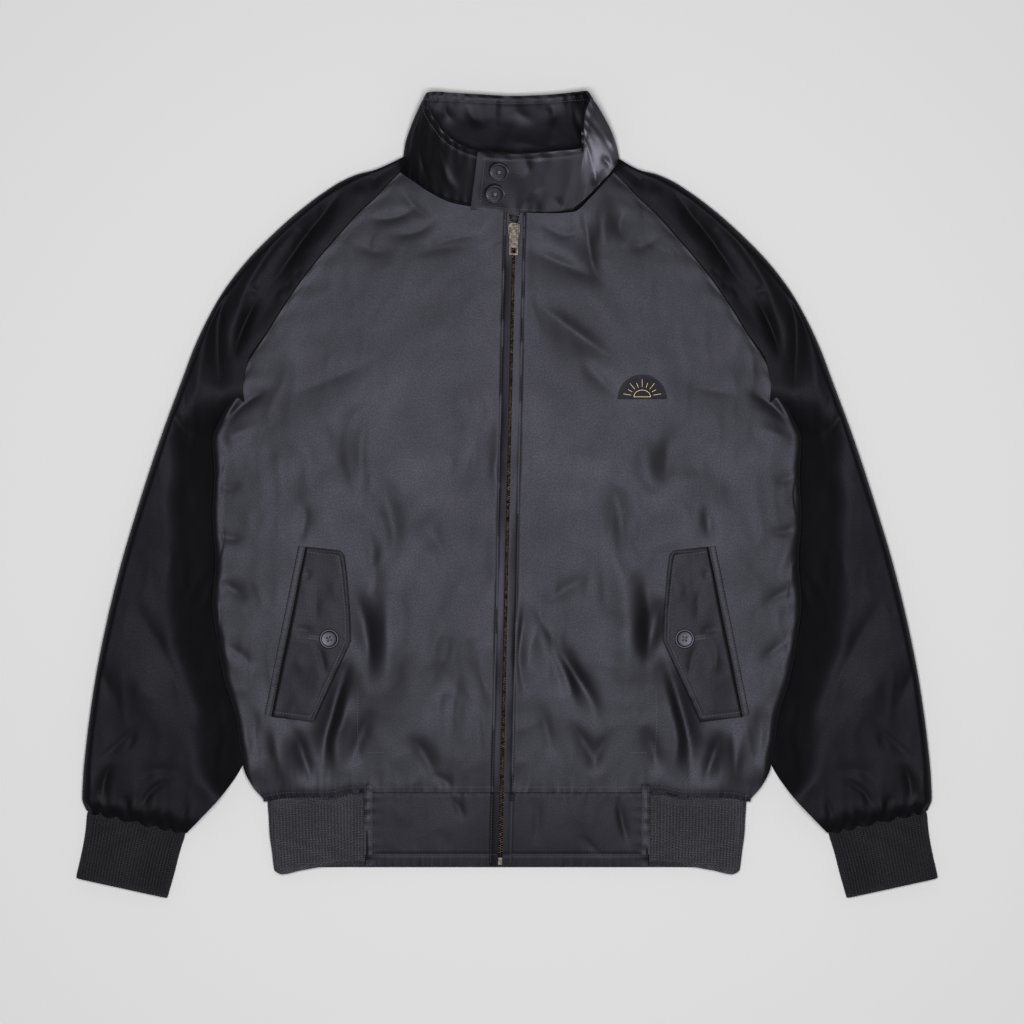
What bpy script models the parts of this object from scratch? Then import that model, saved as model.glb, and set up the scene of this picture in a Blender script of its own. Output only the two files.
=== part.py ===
"""A harrington jacket with raglan sleeves, zipped up and laid flat on its back.

Sizes below are in millimetres. The jacket lies on Z = 0 with its front up, the collar towards +Y and the
hem towards -Y. X = 0 is the middle of the body, and the wearer's left is at +X.
"""

import math

import bmesh
import bpy
from mathutils import Matrix, Vector
from mathutils.bvhtree import BVHTree

MM = 0.001

# Cloth and trim thicknesses
SHELL = 1.6
RIB = 2.4
COLLAR = 2.6
TAPE = 1.0
PATCH = 1.2
SEAM_GAP = 0.4  # between pieces that are sewn edge to edge
LAY_GAP = 0.4  # between a piece and the one that it lies on

BUTTON_PROFILE = (
    # radius, height
    (0.0, 1.9),
    (6.2, 1.9),
    (7.2, 2.9),
    (9.0, 3.0),
    (9.8, 2.2),
    (9.2, 0.6),
    (7.5, 0.0),
    (0.0, 0.0),
)

# Body
HEM_SEAM_Y = -296.0
HEM_EDGE_Y = -370.0
NECK_POINT_Y = 282.0  # centre front, where the collar is sewn on
DOME_REACH = 110.0  # how far in from its edge a panel goes on rising
BODY_ROLL_Z = 8.0  # the height at which the back lies over the sleeve
SLEEVE_CLEAR = 2.2  # between the sleeve and the body that lies on it

# Zip, a straight line that leans to the wearer's left as it rises
ZIP_BOTTOM = (-7.0, HEM_EDGE_Y)
ZIP_TOP = (7.4, NECK_POINT_Y)
CHAIN_WIDTH = 5.0
CHAIN_THICK = 2.2
TAPE_WIDTH = 11.0
TAPE_ROWS = (-369, -300, -288, -270, -250, -200, -150, -100, -50, 0, 50, 100, 150, 200, 249)
SLIDER_Y = 263.0
OPEN_FROM_Y = 264.0  # above the slider the two fronts part
OPEN_HALF = 5.5

TAPE_BELOW = 1.2  # the tape's depth under the cloth beside it
BUTTON_HOLE = 0.9
BUTTON_HOLE_AT = 2.3
RIB_HEM_THICK = 14.0
CUFF_THICK = 13.0

# The raglan seam, from the armpit to the neck, which the fronts, the back and the sleeves share.
RAGLAN = (
    # y, x, front_z
    (136, 257, 24),
    (163, 239, 26),
    (190, 222, 27),
    (216, 204, 27),
    (240, 185, 27),
    (262, 166, 26),
    (280, 150, 25),
    (297, 132, 24),
    (311, 119, 23),
    (323, 107, 22),
)

# The front panel's outer edge below the armpit, the fold at the side.
# z is the height of the cloth there, and roll the radius at which it turns over the fold.
FRONT_SIDE = (
    # y, x, z, roll, dome
    (-303, 243, 13, 3, 0),
    (-290, 254, 13, 5, 2),
    (-272, 263, 14, 8, 5),
    (-250, 267, 15, 10, 7),
    (-221, 271, 16, 10, 7),
    (-180, 283, 17, 10, 7),
    (-145, 289, 18, 10, 7),
    (-107, 294, 18, 10, 7),
    (-65, 291, 18, 10, 7),
    (-20, 294, 18, 10, 7),
    (20, 292, 18, 10, 7),
    (55, 294, 18, 9, 7),
    (82, 283, 19, 7, 7),
    (108, 268, 21, 4, 7),
)
DOME_AT_NECK = 4.0

# The back panel's outer edge below the armpit. reach is how far in it lies on the sleeve before it
# comes down to the floor.
BACK_SIDE = (
    # y, x, z, reach
    (-297, 240, 9, 4),
    (-290, 253, 9, 6),
    (-272, 262, 10, 10),
    (-250, 266, 12, 22),
    (-221, 270, 14, 34),
    (-180, 282, 15, 48),
    (-145, 288, 16, 56),
    (-107, 293, 16, 60),
    (-65, 290, 16, 60),
    (-20, 293, 16, 60),
    (20, 291, 16, 56),
    (50, 286, 15, 46),
    (64, 264, 9, 20),
    (72, 251, 4, 0),
    (84, 250, 0, 0),
    (108, 254, 0, 0),
)
BACK_NECK_RISE = 12.0  # the back's neckline at the middle, above its ends

# The neck seam on each front, outwards from the zip. The two fronts don't lie quite alike.
NECK_SEAM = {
    -1: (
        # x, y
        (0, NECK_POINT_Y),
        (36, 288),
        (56, 292),
        (77, 302),
        (93, 313),
        (107, 323),
    ),
    1: (
        # x, y
        (0, NECK_POINT_Y),
        (38, 281.5),
        (61, 283),
        (80, 297),
        (94, 310),
        (107, 323),
    ),
}

# Sleeve sections below the neck, beside each row of the raglan seam. The front rises from the outer
# fold at z_edge to crown, at crown_at of the way to the seam.
SLEEVE_HEAD = (
    # outer_x, outer_y, z_edge, crown, crown_at
    (300, 176, 9, 25, 0.28),
    (284, 204, 9, 25, 0.30),
    (262, 233, 9, 25, 0.32),
    (236, 260, 9, 25, 0.36),
    (208, 285, 9, 25, 0.40),
    (184, 303, 10, 24, 0.45),
    (165, 315, 10, 24, 0.50),
    (148, 322, 11, 23, 0.52),
    (134, 325, 12, 22, 0.55),
    (118, 331, 12, 20, 0.60),
)
# Where the sleeve's outer fold meets the collar, which leans to the wearer's left.
SLEEVE_NECK_END = {-1: (112, 334), 1: (121, 331)}

# Sleeve sections below the armpit, from the outer fold to the underarm fold.
SLEEVE = (
    # outer_x, outer_y, inner_x, inner_y, z_edge, crown, crown_at, z_inner
    (313, 148, 263, 110, 9, 25, 0.28, 12),
    (325, 116, 260, 78, 9, 25, 0.26, 5),
    (340, 76, 254, 34, 9, 25, 0.25, 3.6),
    (354, 36, 252, -6, 9, 25, 0.25, 3.6),
    (370, -14, 250, -54, 9, 25, 0.25, 3.6),
    (385, -64, 250, -102, 9, 25, 0.25, 3.6),
    (400, -124, 250, -158, 9, 25, 0.25, 3.6),
    (412, -184, 252, -214, 9, 25, 0.27, 3.6),
    (420, -240, 262, -262, 9, 25, 0.32, 4),
    (424, -280, 284, -298, 9, 23, 0.38, 5),
    (425, -302, 305, -321, 9, 20, 0.42, 7),
    (421, -314.5, 320, -336.5, 8, 15, 0.45, 8),
)
SLEEVE_FRONT_ACROSS = (0, 0.015, 0.06, 0.14, 0.27, 0.42, 0.6, 0.8, 0.93, 1)
SLEEVE_BACK_ACROSS = (0, 0.015, 0.06, 0.3, 0.65, 1)

CUFF = (
    # outer_x, outer_y, inner_x, inner_y
    (420, -315.3, 321, -337.3),
    (424, -348, 331, -368),
    (431, -382, 340, -402),
)

# The knitted hem: its upper and lower edge on the front, by distance from the middle.
HEM_RIB = (
    # x, top_y, bottom_y
    (134, -295, -370),
    (150, -295, -369),
    (178, -300, -370),
    (205, -300, -374),
    (225, -301, -378),
    (240, -304, -374),
)
HEM_RIB_BACK = (-297.0, -372.0)
HEM_RIB_TOP_X = 240.0
HEM_RIB_BOTTOM_X = 233.0
HEM_RIB_FRONT_X = 142.0
HEM_BAND_X = 141.0
HEM_TAB_X = (134.0, 142.5)
HEM_TAB_Y = (-288.0, -358.5)

# Collar sections, from the end that lies under the tab, round the wearer's right, the back and the
# left, to the tab's end. out is how far the wall bows outwards at half its height.
COLLAR_SECTIONS = (
    # seam x, y, z, top x, y, z, out
    (14, 283.5, 24, 13, 338, 49, 0),
    (-14, 283.8, 24, -12, 338.5, 49, 0),
    (-38, 289, 24, -36, 343, 50, 1),
    (-60, 294.5, 24, -56, 354, 53, 3),
    (-80, 305, 23, -72, 373, 56, 4),
    (-95, 316, 21, -80, 392, 54, 5),
    (-105, 330, 11, -80, 400, 44, 6),
    (-88, 337, 2, -68, 402, 34, 3),
    (-62, 337.4, 1, -56, 401.5, 30, 1),
    (-30, 337.4, 1, -28, 400, 28, 1),
    (6, 337.4, 1, 6, 398.5, 27, 1),
    (40, 337.4, 1, 40, 399.5, 28, 1),
    (68, 337.4, 1, 64, 401.5, 31, 1),
    (94, 338, 2, 78, 402.5, 38, 4),
    (113, 335, 10, 83, 395, 48, 9),
    (108, 325.5, 19, 77, 376, 56, 14),
    (88, 304.5, 25, 76, 357, 58, 9),
    (64, 286, 27, 77, 345, 57, 0),
    (36, 282.4, 27, 44, 340.5, 55.5, 0),
    (8, 283.2, 28.5, 9, 338, 54.5, 0),
    (-36, 288, 30, -29, 340, 55.5, 0),
)
COLLAR_STEPS = 44
COLLAR_MIDDLE_Y = 345.0
COLLAR_RISE = (0, 0.22, 0.5, 0.78, 1)

# Pocket flaps, by distance from the middle: the sewn side and the free side, from top to bottom.
FLAP = (
    # sewn_x, sewn_y, free_x, free_y
    (200.5, -50.5, 165, -56),
    (206, -78, 158.5, -73),
    (214, -117, 156.5, -112),
    (221, -152, 155, -147),
    (228, -186, 174, -187),
    (235, -220, 192, -225),
)
WELT = (
    # outer_x, outer_y, inner_x, inner_y
    (207.5, -50, 201.2, -50.5),
    (224.5, -134, 218.2, -135),
    (241.5, -218, 235.7, -220),
)
FLAP_BUTTON = (176.5, -142.0)
COLLAR_BUTTONS = ((-8.0, 321.5), (-12.0, 300.5))

PATCH_CENTRE = (134.5, 96.5)
PATCH_RADIUS = 24.4

# The largest folds in the cloth: troughs have a negative depth.
FRONT_FOLDS = (
    # side, x1, y1, x2, y2, half_width, depth
    ("both", 150, -95, 152, -170, 22, -5),
    ("both", 154, -170, 182, -290, 22, -6),
    ("both", 118, -110, 96, -250, 26, 3),
    ("right", 128, -30, 140, -100, 18, -3),
    ("left", 30, -110, 70, -190, 20, -5),
    ("left", 40, 190, 110, 110, 26, -4),
    ("right", 40, 40, 75, -60, 26, -3),
)
SLEEVE_FOLDS = (
    # x1, y1, x2, y2, half_width, depth
    (162, 300, 208, 243, 15, -7),
    (226, 222, 258, 190, 15, -7),
    (268, 172, 277, 130, 14, -6),
    (300, -240, 345, -120, 20, -3),
    (398, -210, 350, -150, 22, -3),
)

COLOURS = {
    # name: red, green, blue, roughness, metallic
    "shell": (0.030, 0.030, 0.034, 0.55, 0.0),
    "rib": (0.022, 0.022, 0.024, 0.85, 0.0),
    "button": (0.035, 0.035, 0.038, 0.35, 0.0),
    "tape": (0.012, 0.012, 0.013, 0.80, 0.0),
    "brass": (0.42, 0.34, 0.22, 0.35, 1.0),
    "patch": (0.030, 0.030, 0.036, 0.50, 0.0),
}


def clear_scene():
    for obj in list(bpy.data.objects):
        bpy.data.objects.remove(obj, do_unlink=True)


def make_materials():
    made = {}
    for name, (red, green, blue, roughness, metallic) in COLOURS.items():
        material = bpy.data.materials.new(name)
        material.use_nodes = True
        shader = material.node_tree.nodes["Principled BSDF"]
        shader.inputs["Base Color"].default_value = (red, green, blue, 1)
        shader.inputs["Roughness"].default_value = roughness
        shader.inputs["Metallic"].default_value = metallic
        made[name] = material
    return made


# --- Curves and heights -------------------------------------------------------------------------


def between(low, high, share):
    return low + (high - low) * share


def ease(share):
    """A smooth step from 0 to 1."""
    share = min(max(share, 0.0), 1.0)
    return share * share * (3 - 2 * share)


def through(rows, key, column):
    """The value of a column at a key, on a smooth curve through the rows that doesn't overshoot them."""
    rows = sorted(rows, key=lambda row: row[0])
    keys = [row[0] for row in rows]
    values = [row[column] for row in rows]
    if key <= keys[0]:
        return values[0]
    if key >= keys[-1]:
        return values[-1]
    slopes = [(values[i + 1] - values[i]) / (keys[i + 1] - keys[i]) for i in range(len(rows) - 1)]
    tangents = [slopes[0]]
    for before, after in zip(slopes, slopes[1:]):
        same_way = before * after > 0
        tangents.append(2 * before * after / (before + after) if same_way else 0.0)
    tangents.append(slopes[-1])
    i = max(n for n in range(len(rows) - 1) if keys[n] <= key)
    step = keys[i + 1] - keys[i]
    t = (key - keys[i]) / step
    return (
        (1 + 2 * t) * (1 - t) ** 2 * values[i]
        + t * (1 - t) ** 2 * step * tangents[i]
        + t * t * (3 - 2 * t) * values[i + 1]
        + t * t * (t - 1) * step * tangents[i + 1]
    )


def along(rows, share):
    """The row at a share of the way down a table, each step between two rows counting the same."""
    place = share * (len(rows) - 1)
    numbered = [(index, *row) for index, row in enumerate(rows)]
    return [through(numbered, place, column + 1) for column in range(len(rows[0]))]


def fold(x, y, x1, y1, x2, y2, half_width, depth):
    """A soft trough or ridge that runs from one point to another and fades at its ends and sides."""
    run = Vector((x2 - x1, y2 - y1))
    offset = Vector((x - x1, y - y1))
    share = offset.dot(run) / run.length_squared
    nearest = min(max(share, 0.0), 1.0)
    distance = (offset - run * nearest).length
    return depth * math.exp(-((distance / half_width) ** 2) * 2)


def zip_x(y):
    share = (y - ZIP_BOTTOM[1]) / (ZIP_TOP[1] - ZIP_BOTTOM[1])
    return between(ZIP_BOTTOM[0], ZIP_TOP[0], share)


def raglan_x(y):
    return through(RAGLAN, y, 1)


def raglan_z(y):
    return through(RAGLAN, y, 2)


def front_edge(y):
    """The half width of the fronts at a height up the body, with the cloth's level, roll and dome."""
    if y >= RAGLAN[0][0]:
        share = (y - RAGLAN[0][0]) / (RAGLAN[-1][0] - RAGLAN[0][0])
        dome = between(FRONT_SIDE[-1][4], DOME_AT_NECK, share)
        return raglan_x(y), raglan_z(y), 0.0, dome
    armpit = (RAGLAN[0][0], raglan_x(RAGLAN[0][0]), raglan_z(RAGLAN[0][0]), 0.0, FRONT_SIDE[-1][4])
    rows = (*FRONT_SIDE, armpit)
    return tuple(through(rows, y, column) for column in (1, 2, 3, 4))


def back_edge(y):
    """The half width of the back at a height up the body, with its level there and its reach."""
    if y >= RAGLAN[0][0]:
        return raglan_x(y), 0.0, 0.0
    rows = (*BACK_SIDE, (RAGLAN[0][0], raglan_x(RAGLAN[0][0]), 0.0, 0.0))
    return tuple(through(rows, y, column) for column in (1, 2, 3))


def front_folds(side, x, y):
    named = "right" if side < 0 else "left"
    return sum(fold(abs(x), y, *row[1:]) for row in FRONT_FOLDS if row[0] in ("both", named))


def front_z(side, x, y):
    """The height of the front's upper face."""
    edge, z, roll, dome = front_edge(y)
    inwards = max(edge - abs(x), 0.0)
    rolled = 0.0
    if roll > 0:
        rolled = roll * math.sqrt(1 - (1 - min(inwards / roll, 1.0)) ** 2)
    domed = dome * (1 - (1 - min(inwards / DOME_REACH, 1.0)) ** 2)
    return z + rolled + domed + front_folds(side, x, y) * ease(inwards / 20)


def back_z(x, y):
    """The height of the back's lower face: on the floor, or over the sleeve near the side."""
    edge, z, reach = back_edge(y)
    if z <= 0:
        return 0.0
    inwards = max(edge - abs(x), 0.0)
    over_sleeve = between(z, min(BODY_ROLL_Z, z), ease(inwards / 14))
    return over_sleeve * (1 - ease((inwards - reach) / 18))


def hem_seam_shift(x):
    """How far the seam over the knitted hem lies above or below the one over the cloth band."""
    if abs(x) < HEM_BAND_X:
        return 0.0
    return through(HEM_RIB, abs(x), 1) + 3 * SEAM_GAP - HEM_SEAM_Y


# --- Building blocks ----------------------------------------------------------------------------


def add_object(name, mesh, material, smooth=True):
    obj = bpy.data.objects.new(name, mesh)
    obj.data.materials.append(material)
    bpy.context.scene.collection.objects.link(obj)
    if smooth:
        mesh.shade_smooth()
    return obj


def grid_mesh(name, rows, wrap=False):
    """A sheet through rows of points; wrap joins each row's last point to its first."""
    shape = bmesh.new()
    made = [[shape.verts.new(Vector(point) * MM) for point in row] for row in rows]
    for lower, upper in zip(made, made[1:]):
        count = len(lower)
        for i in range(count if wrap else count - 1):
            j = (i + 1) % count
            shape.faces.new((lower[i], lower[j], upper[j], upper[i]))
    bmesh.ops.triangulate(shape, faces=shape.faces)
    mesh = bpy.data.meshes.new(name)
    shape.to_mesh(mesh)
    shape.free()
    return mesh


def cloth(name, rows, thickness, material, wrap=False, flip=False):
    """A wall of cloth whose outer face goes through rows of points. flip turns the outer face over."""
    mesh = grid_mesh(name, rows, wrap)
    if flip:
        mesh.flip_normals()
    obj = add_object(name, mesh, material)
    wall = obj.modifiers.new("wall", "SOLIDIFY")
    wall.thickness = thickness * MM
    wall.offset = -1
    return obj


def mirrored(rows, side):
    return [[(side * x, y, z) for x, y, z in row] for row in rows]


def outer_face(obj):
    """The outer face of a piece of cloth, which other pieces can be laid on."""
    points = [vertex.co for vertex in obj.data.vertices]
    return BVHTree.FromPolygons(points, [tuple(face.vertices) for face in obj.data.polygons])


def heights(faces, x, y, reach=0.0):
    """The heights of some outer faces at a place in plan and, with a reach, at four places round it."""
    found = []
    for step_x, step_y in ((0, 0), (reach, 0), (-reach, 0), (0, reach), (0, -reach)):
        above = Vector((x + step_x, y + step_y, 200)) * MM
        for face in faces:
            hit = face.ray_cast(above, Vector((0, 0, -1)))[0]
            if hit:
                found.append(hit.z / MM)
    return found


def laid_on(faces, points, thickness, reach=6.0):
    """Rows of points in plan, raised so that a piece of this thickness lies just over the faces."""
    lift = LAY_GAP + thickness
    return [[(x, y, max(heights(faces, x, y, reach)) + lift) for x, y in row] for row in points]


def seat(face, x, y, radius):
    """Where a round piece sits on a face: the point under its middle, and the way that it points."""
    left, right, below, above = (
        max(heights([face], x + step_x, y + step_y))
        for step_x, step_y in ((-radius, 0), (radius, 0), (0, -radius), (0, radius))
    )
    slope_x, slope_y = (right - left) / (2 * radius), (above - below) / (2 * radius)
    middle = max(heights([face], x, y))
    bulges = [0.0]
    for n in range(8):
        angle = math.tau * n / 8
        for part in (0.5, 1.0):
            step_x, step_y = part * radius * math.cos(angle), part * radius * math.sin(angle)
            height = max(heights([face], x + step_x, y + step_y))
            bulges.append(height - (middle + slope_x * step_x + slope_y * step_y))
    normal = Vector((-slope_x, -slope_y, 1)).normalized()
    return Vector((x, y, middle + max(bulges) + LAY_GAP)), normal


def prism(name, outline, low, high, material, bevel=0.0):
    """A plate with an outline in plan, between two heights."""
    shape = bmesh.new()
    base = [shape.verts.new((x * MM, y * MM, low * MM)) for x, y in outline]
    face = shape.faces.new(base)
    raised = bmesh.ops.extrude_face_region(shape, geom=[face])["geom"]
    lift = [part for part in raised if isinstance(part, bmesh.types.BMVert)]
    bmesh.ops.translate(shape, verts=lift, vec=(0, 0, (high - low) * MM))
    bmesh.ops.recalc_face_normals(shape, faces=shape.faces)
    mesh = bpy.data.meshes.new(name)
    shape.to_mesh(mesh)
    shape.free()
    obj = add_object(name, mesh, material, smooth=False)
    if bevel:
        rounding = obj.modifiers.new("rounding", "BEVEL")
        rounding.width = bevel * MM
        rounding.segments = 2
    return obj


def rectangle(x, y, width, length):
    half_x, half_y = width / 2, length / 2
    return [
        (x - half_x, y - half_y),
        (x + half_x, y - half_y),
        (x + half_x, y + half_y),
        (x - half_x, y + half_y),
    ]


def combine(obj, others, operation):
    """Unites other solids with obj, or cuts them from it, and leaves them out of the part."""
    for index, other in enumerate(others):
        step = obj.modifiers.new(f"{operation.lower()}_{index}", "BOOLEAN")
        step.operation = operation
        step.solver = "EXACT"
        step.object = other
        other.hide_render = True
        other.display_type = "WIRE"
    return obj


def place(objects, matrix):
    for obj in objects:
        obj.matrix_world = matrix


# --- Body ---------------------------------------------------------------------------------------


def zip_edge(side, y):
    """A front's edge beside the zip. Above the slider the two fronts part."""
    parted = ease((y - OPEN_FROM_Y) / (NECK_POINT_Y - OPEN_FROM_Y))
    return zip_x(y) + side * between(CHAIN_WIDTH / 2 + SEAM_GAP, OPEN_HALF, parted)


def yoke_point(side, across, up):
    """A place on a front above the armpit, between the zip, the raglan seam and the neck seam.

    across is 0 at the zip and 1 at the raglan seam, and up is 0 level with the armpit and 1 at the neck.
    """
    armpit_y, neck_y = RAGLAN[0][0], NECK_POINT_Y
    zip_y = between(armpit_y, neck_y, up)
    zip_side = Vector((side * zip_edge(side, zip_y), zip_y))
    seam_x, seam_y = along([(x, y) for y, x, z in RAGLAN], up)
    seam_side = Vector((seam_x - SEAM_GAP, seam_y))
    start, end = side * zip_edge(side, armpit_y), RAGLAN[0][1] - SEAM_GAP
    bottom = Vector((between(start, end, across), armpit_y))
    neck_x, neck_y_here = along(NECK_SEAM[side], across)
    top = Vector((neck_x, neck_y_here))
    opening = side * zip_edge(side, neck_y)
    top.x = between(opening, RAGLAN[-1][1] - SEAM_GAP, neck_x / NECK_SEAM[side][-1][0])
    corners = (
        Vector((start, armpit_y)) * (1 - across) * (1 - up)
        + Vector((end, armpit_y)) * across * (1 - up)
        + Vector((opening, neck_y)) * (1 - across) * up
        + Vector((RAGLAN[-1][1] - SEAM_GAP, RAGLAN[-1][0])) * across * up
    )
    sides = zip_side * (1 - across) + seam_side * across
    ends = bottom * (1 - up) + top * up
    return sides + ends - corners


def make_front(name, side, material):
    """side is -1 for the wearer's right front and 1 for the left."""
    columns = 10
    shares = [1 - (1 - n / columns) ** 1.35 for n in range(columns + 1)]
    rows = []
    for y in [row[0] for row in FRONT_SIDE]:
        y = max(y, HEM_SEAM_Y)
        inner = side * zip_edge(side, y)
        outer = front_edge(y)[0] - SEAM_GAP / 2
        near_hem = 1 - ease((y - HEM_SEAM_Y) / 60)
        row = []
        for share in shares:
            x = between(inner, outer, share)
            row.append((side * x, y + hem_seam_shift(x) * near_hem, front_z(side, x, y)))
        rows.append(row)
    for n in range(len(RAGLAN)):
        up = n / (len(RAGLAN) - 1)
        row = []
        for share in shares:
            spot = yoke_point(side, share, up)
            level = front_z(side, spot.x, spot.y)
            row.append((side * spot.x, spot.y, between(level, raglan_z(spot.y), share**6)))
        rows.append(row)
    return cloth(name, rows, SHELL, material, flip=side < 0)


def make_back(material):
    ys = [row[0] for row in BACK_SIDE] + [row[0] for row in RAGLAN]
    columns = 7
    rows = []
    for y in ys:
        y = max(y, HEM_SEAM_Y)
        half = back_edge(y)[0] - SEAM_GAP
        rise = BACK_NECK_RISE * ease((y - RAGLAN[-3][0]) / (RAGLAN[-1][0] - RAGLAN[-3][0]))
        row = []
        for n in range(-columns, columns + 1):
            share = abs(n) / columns
            x = half * math.copysign(1 - (1 - share) ** 1.5, n)
            row.append((x, y + rise * (1 - share**2), back_z(x, y)))
        rows.append(row)
    return cloth("back", rows, SHELL, material, flip=True)


# --- Sleeves and cuffs --------------------------------------------------------------------------


def sleeve_sections(side):
    """Every section from the neck to the cuff, in the columns of the sleeve table."""
    head = []
    for (seam_y, seam_x, seam_z), section in zip(RAGLAN, SLEEVE_HEAD):
        outer_x, outer_y, z_edge, crown, crown_at = section
        if section is SLEEVE_HEAD[-1]:
            outer_x, outer_y = SLEEVE_NECK_END[side]
        seam_x += 2 * SEAM_GAP
        head.append((outer_x, outer_y, seam_x, seam_y, z_edge, crown, crown_at, seam_z))
    return head[::-1] + list(SLEEVE)


def under_body(x, y):
    """The most that a sleeve may rise at a place, so that the body lies over it."""
    edge, z, reach = back_edge(y)
    if z <= 0:
        return math.inf
    if x < edge:
        return back_z(x, y) - SLEEVE_CLEAR
    return z - SLEEVE_CLEAR + 0.8 * (x - edge)


def sleeve_front_z(x, y, across, section):
    """The height of a sleeve's upper face, across being 0 at the outer fold and 1 at the inner seam."""
    z_edge, crown, crown_at, z_inner = section[4:8]
    if across < crown_at:
        rise = math.sqrt(1 - (1 - across / crown_at) ** 2)
        z = between(z_edge, crown, rise)
    else:
        fall = (across - crown_at) / (1 - crown_at)
        z = between(z_inner, crown, 0.5 + 0.5 * math.cos(math.pi * fall))
    soft_ends = ease(across / 0.2) * ease((1 - across) / 0.25)
    z += soft_ends * sum(fold(x, y, *row) for row in SLEEVE_FOLDS)
    return max(min(z, under_body(x, y)), 2 * SHELL + SEAM_GAP)


def sleeve_point(section, across):
    outer_x, outer_y, inner_x, inner_y = section[:4]
    return between(outer_x, inner_x, across), between(outer_y, inner_y, across)


def make_sleeve_front(name, side, material):
    rows = []
    for section in sleeve_sections(side):
        row = []
        for across in SLEEVE_FRONT_ACROSS:
            x, y = sleeve_point(section, across)
            row.append((x, y, sleeve_front_z(x, y, across, section)))
        rows.append(row)
    return cloth(name, mirrored(rows, side), SHELL, material, flip=side < 0)


def make_sleeve_back(name, side, material):
    """The sleeve's under half, flat on the floor and rolled up to the outer fold."""
    rows = []
    for section in sleeve_sections(side):
        low_edge = section[4] - SHELL - SEAM_GAP
        width = math.dist(section[0:2], section[2:4])
        roll = min(10.0, 0.7 * width)
        row = []
        for across in SLEEVE_BACK_ACROSS:
            x, y = sleeve_point(section, across)
            inwards = min(across * width / roll, 1.0)
            z = low_edge * (1 - math.sqrt(1 - (1 - inwards) ** 2))
            row.append((x, y, z))
        rows.append(row)
    return cloth(name, mirrored(rows, side), SHELL, material, flip=side > 0)


def ring_section(outer, inner, thick):
    """A flattened tube's outer face across its width: over the top, round the fold and back below."""
    outer, inner = Vector(outer), Vector(inner)
    width = (inner - outer).length
    across = (inner - outer) / width
    radius = thick / 2
    flat_steps, round_steps = 5, 4
    spots = []
    for n in range(flat_steps):
        spots.append((between(radius, width - radius, n / flat_steps), thick))
    for n in range(round_steps + 1):
        angle = math.pi / 2 - math.pi * n / round_steps
        spots.append((width - radius + radius * math.cos(angle), radius + radius * math.sin(angle)))
    for n in range(1, flat_steps):
        spots.append((between(width - radius, radius, n / flat_steps), 0))
    for n in range(round_steps):
        angle = -math.pi / 2 - math.pi * n / round_steps
        spots.append((radius + radius * math.cos(angle), radius + radius * math.sin(angle)))
    return [(*(outer + across * distance), z) for distance, z in spots]


def make_cuff(name, side, material):
    rows = [
        ring_section((outer_x, outer_y), (inner_x, inner_y), CUFF_THICK)
        for outer_x, outer_y, inner_x, inner_y in CUFF
    ]
    return cloth(name, mirrored(rows, side), RIB, material, wrap=True, flip=side < 0)


# --- Hem ----------------------------------------------------------------------------------------


def hem_rib_profile(down):
    """Half of the knitted hem from its front end, round the side, to the middle of the back.

    Each spot is its distance from the middle, its height, and how far it counts as on the front.
    """
    radius = RIB_HEM_THICK / 2
    side_x = between(HEM_RIB_TOP_X, HEM_RIB_BOTTOM_X, down)
    spots = []
    for n in range(5):
        spots.append((between(HEM_RIB_FRONT_X, side_x - radius, n / 5), RIB_HEM_THICK, 1.0))
    for n in range(5):
        angle = math.pi / 2 - math.pi * n / 4
        reach = radius * math.cos(angle)
        spots.append((side_x - radius + reach, radius + radius * math.sin(angle), 1 - n / 4))
    for n in range(1, 6):
        spots.append((between(side_x - radius, 0, n / 5), 0, 0.0))
    return spots


def make_hem_rib(material):
    """One knitted strip: on the front beside the band, round both sides and across the back."""
    rows = []
    for down in (0, 0.5, 1):
        half = []
        for x, z, on_front in hem_rib_profile(down):
            front_y = between(through(HEM_RIB, x, 1), through(HEM_RIB, x, 2), down)
            back_y = between(HEM_RIB_BACK[0], HEM_RIB_BACK[1], down)
            half.append((x, between(back_y, front_y, on_front), z))
        rows.append([(-x, y, z) for x, y, z in half] + half[-2::-1])
    return cloth("hem_rib", rows, RIB, material)


def hem_band_z(y):
    """The band runs on from the front panel and dips a little towards its lower edge."""
    down = (HEM_SEAM_Y - y) / (HEM_SEAM_Y - HEM_EDGE_Y)
    return 16.0 + 1.5 * math.sin(math.pi * down) - 1.0 * down


def make_hem_band(name, side, material):
    rows = []
    for n in range(4):
        y = between(HEM_EDGE_Y, HEM_SEAM_Y - SEAM_GAP, n / 3)
        inner, outer = zip_edge(side, y), side * HEM_BAND_X
        rows.append([(between(inner, outer, m / 4), y, hem_band_z(y)) for m in range(5)])
    return cloth(name, rows, SHELL, material, flip=side < 0)


def make_hem_tab(name, side, faces, material):
    """The narrow strip that covers the joint of the band and the knitted hem."""
    top_y, bottom_y = HEM_TAB_Y
    points = [[(side * x, between(bottom_y, top_y, n / 4)) for x in HEM_TAB_X] for n in range(5)]
    return cloth(name, laid_on(faces, points, SHELL), SHELL, material, flip=side < 0)


# --- Pockets, patch and buttons -----------------------------------------------------------------


def strip_points(table, side, rows, columns):
    """Places in plan between the two long sides of a table of outlines."""
    points = []
    for n in range(rows + 1):
        start_x, start_y, end_x, end_y = along(table, n / rows)
        shares = [m / columns for m in range(columns + 1)]
        points.append(
            [(side * between(start_x, end_x, s), between(start_y, end_y, s)) for s in shares]
        )
    return points


def make_flap(name, side, front, material):
    rows = laid_on([front], strip_points(FLAP, side, 8, 3), SHELL)
    return cloth(name, rows, SHELL, material, flip=side < 0)


def make_welt(name, side, front, material):
    rows = laid_on([front], strip_points(WELT, side, 6, 1), TAPE)
    return cloth(name, rows, TAPE, material, flip=side < 0)


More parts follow.
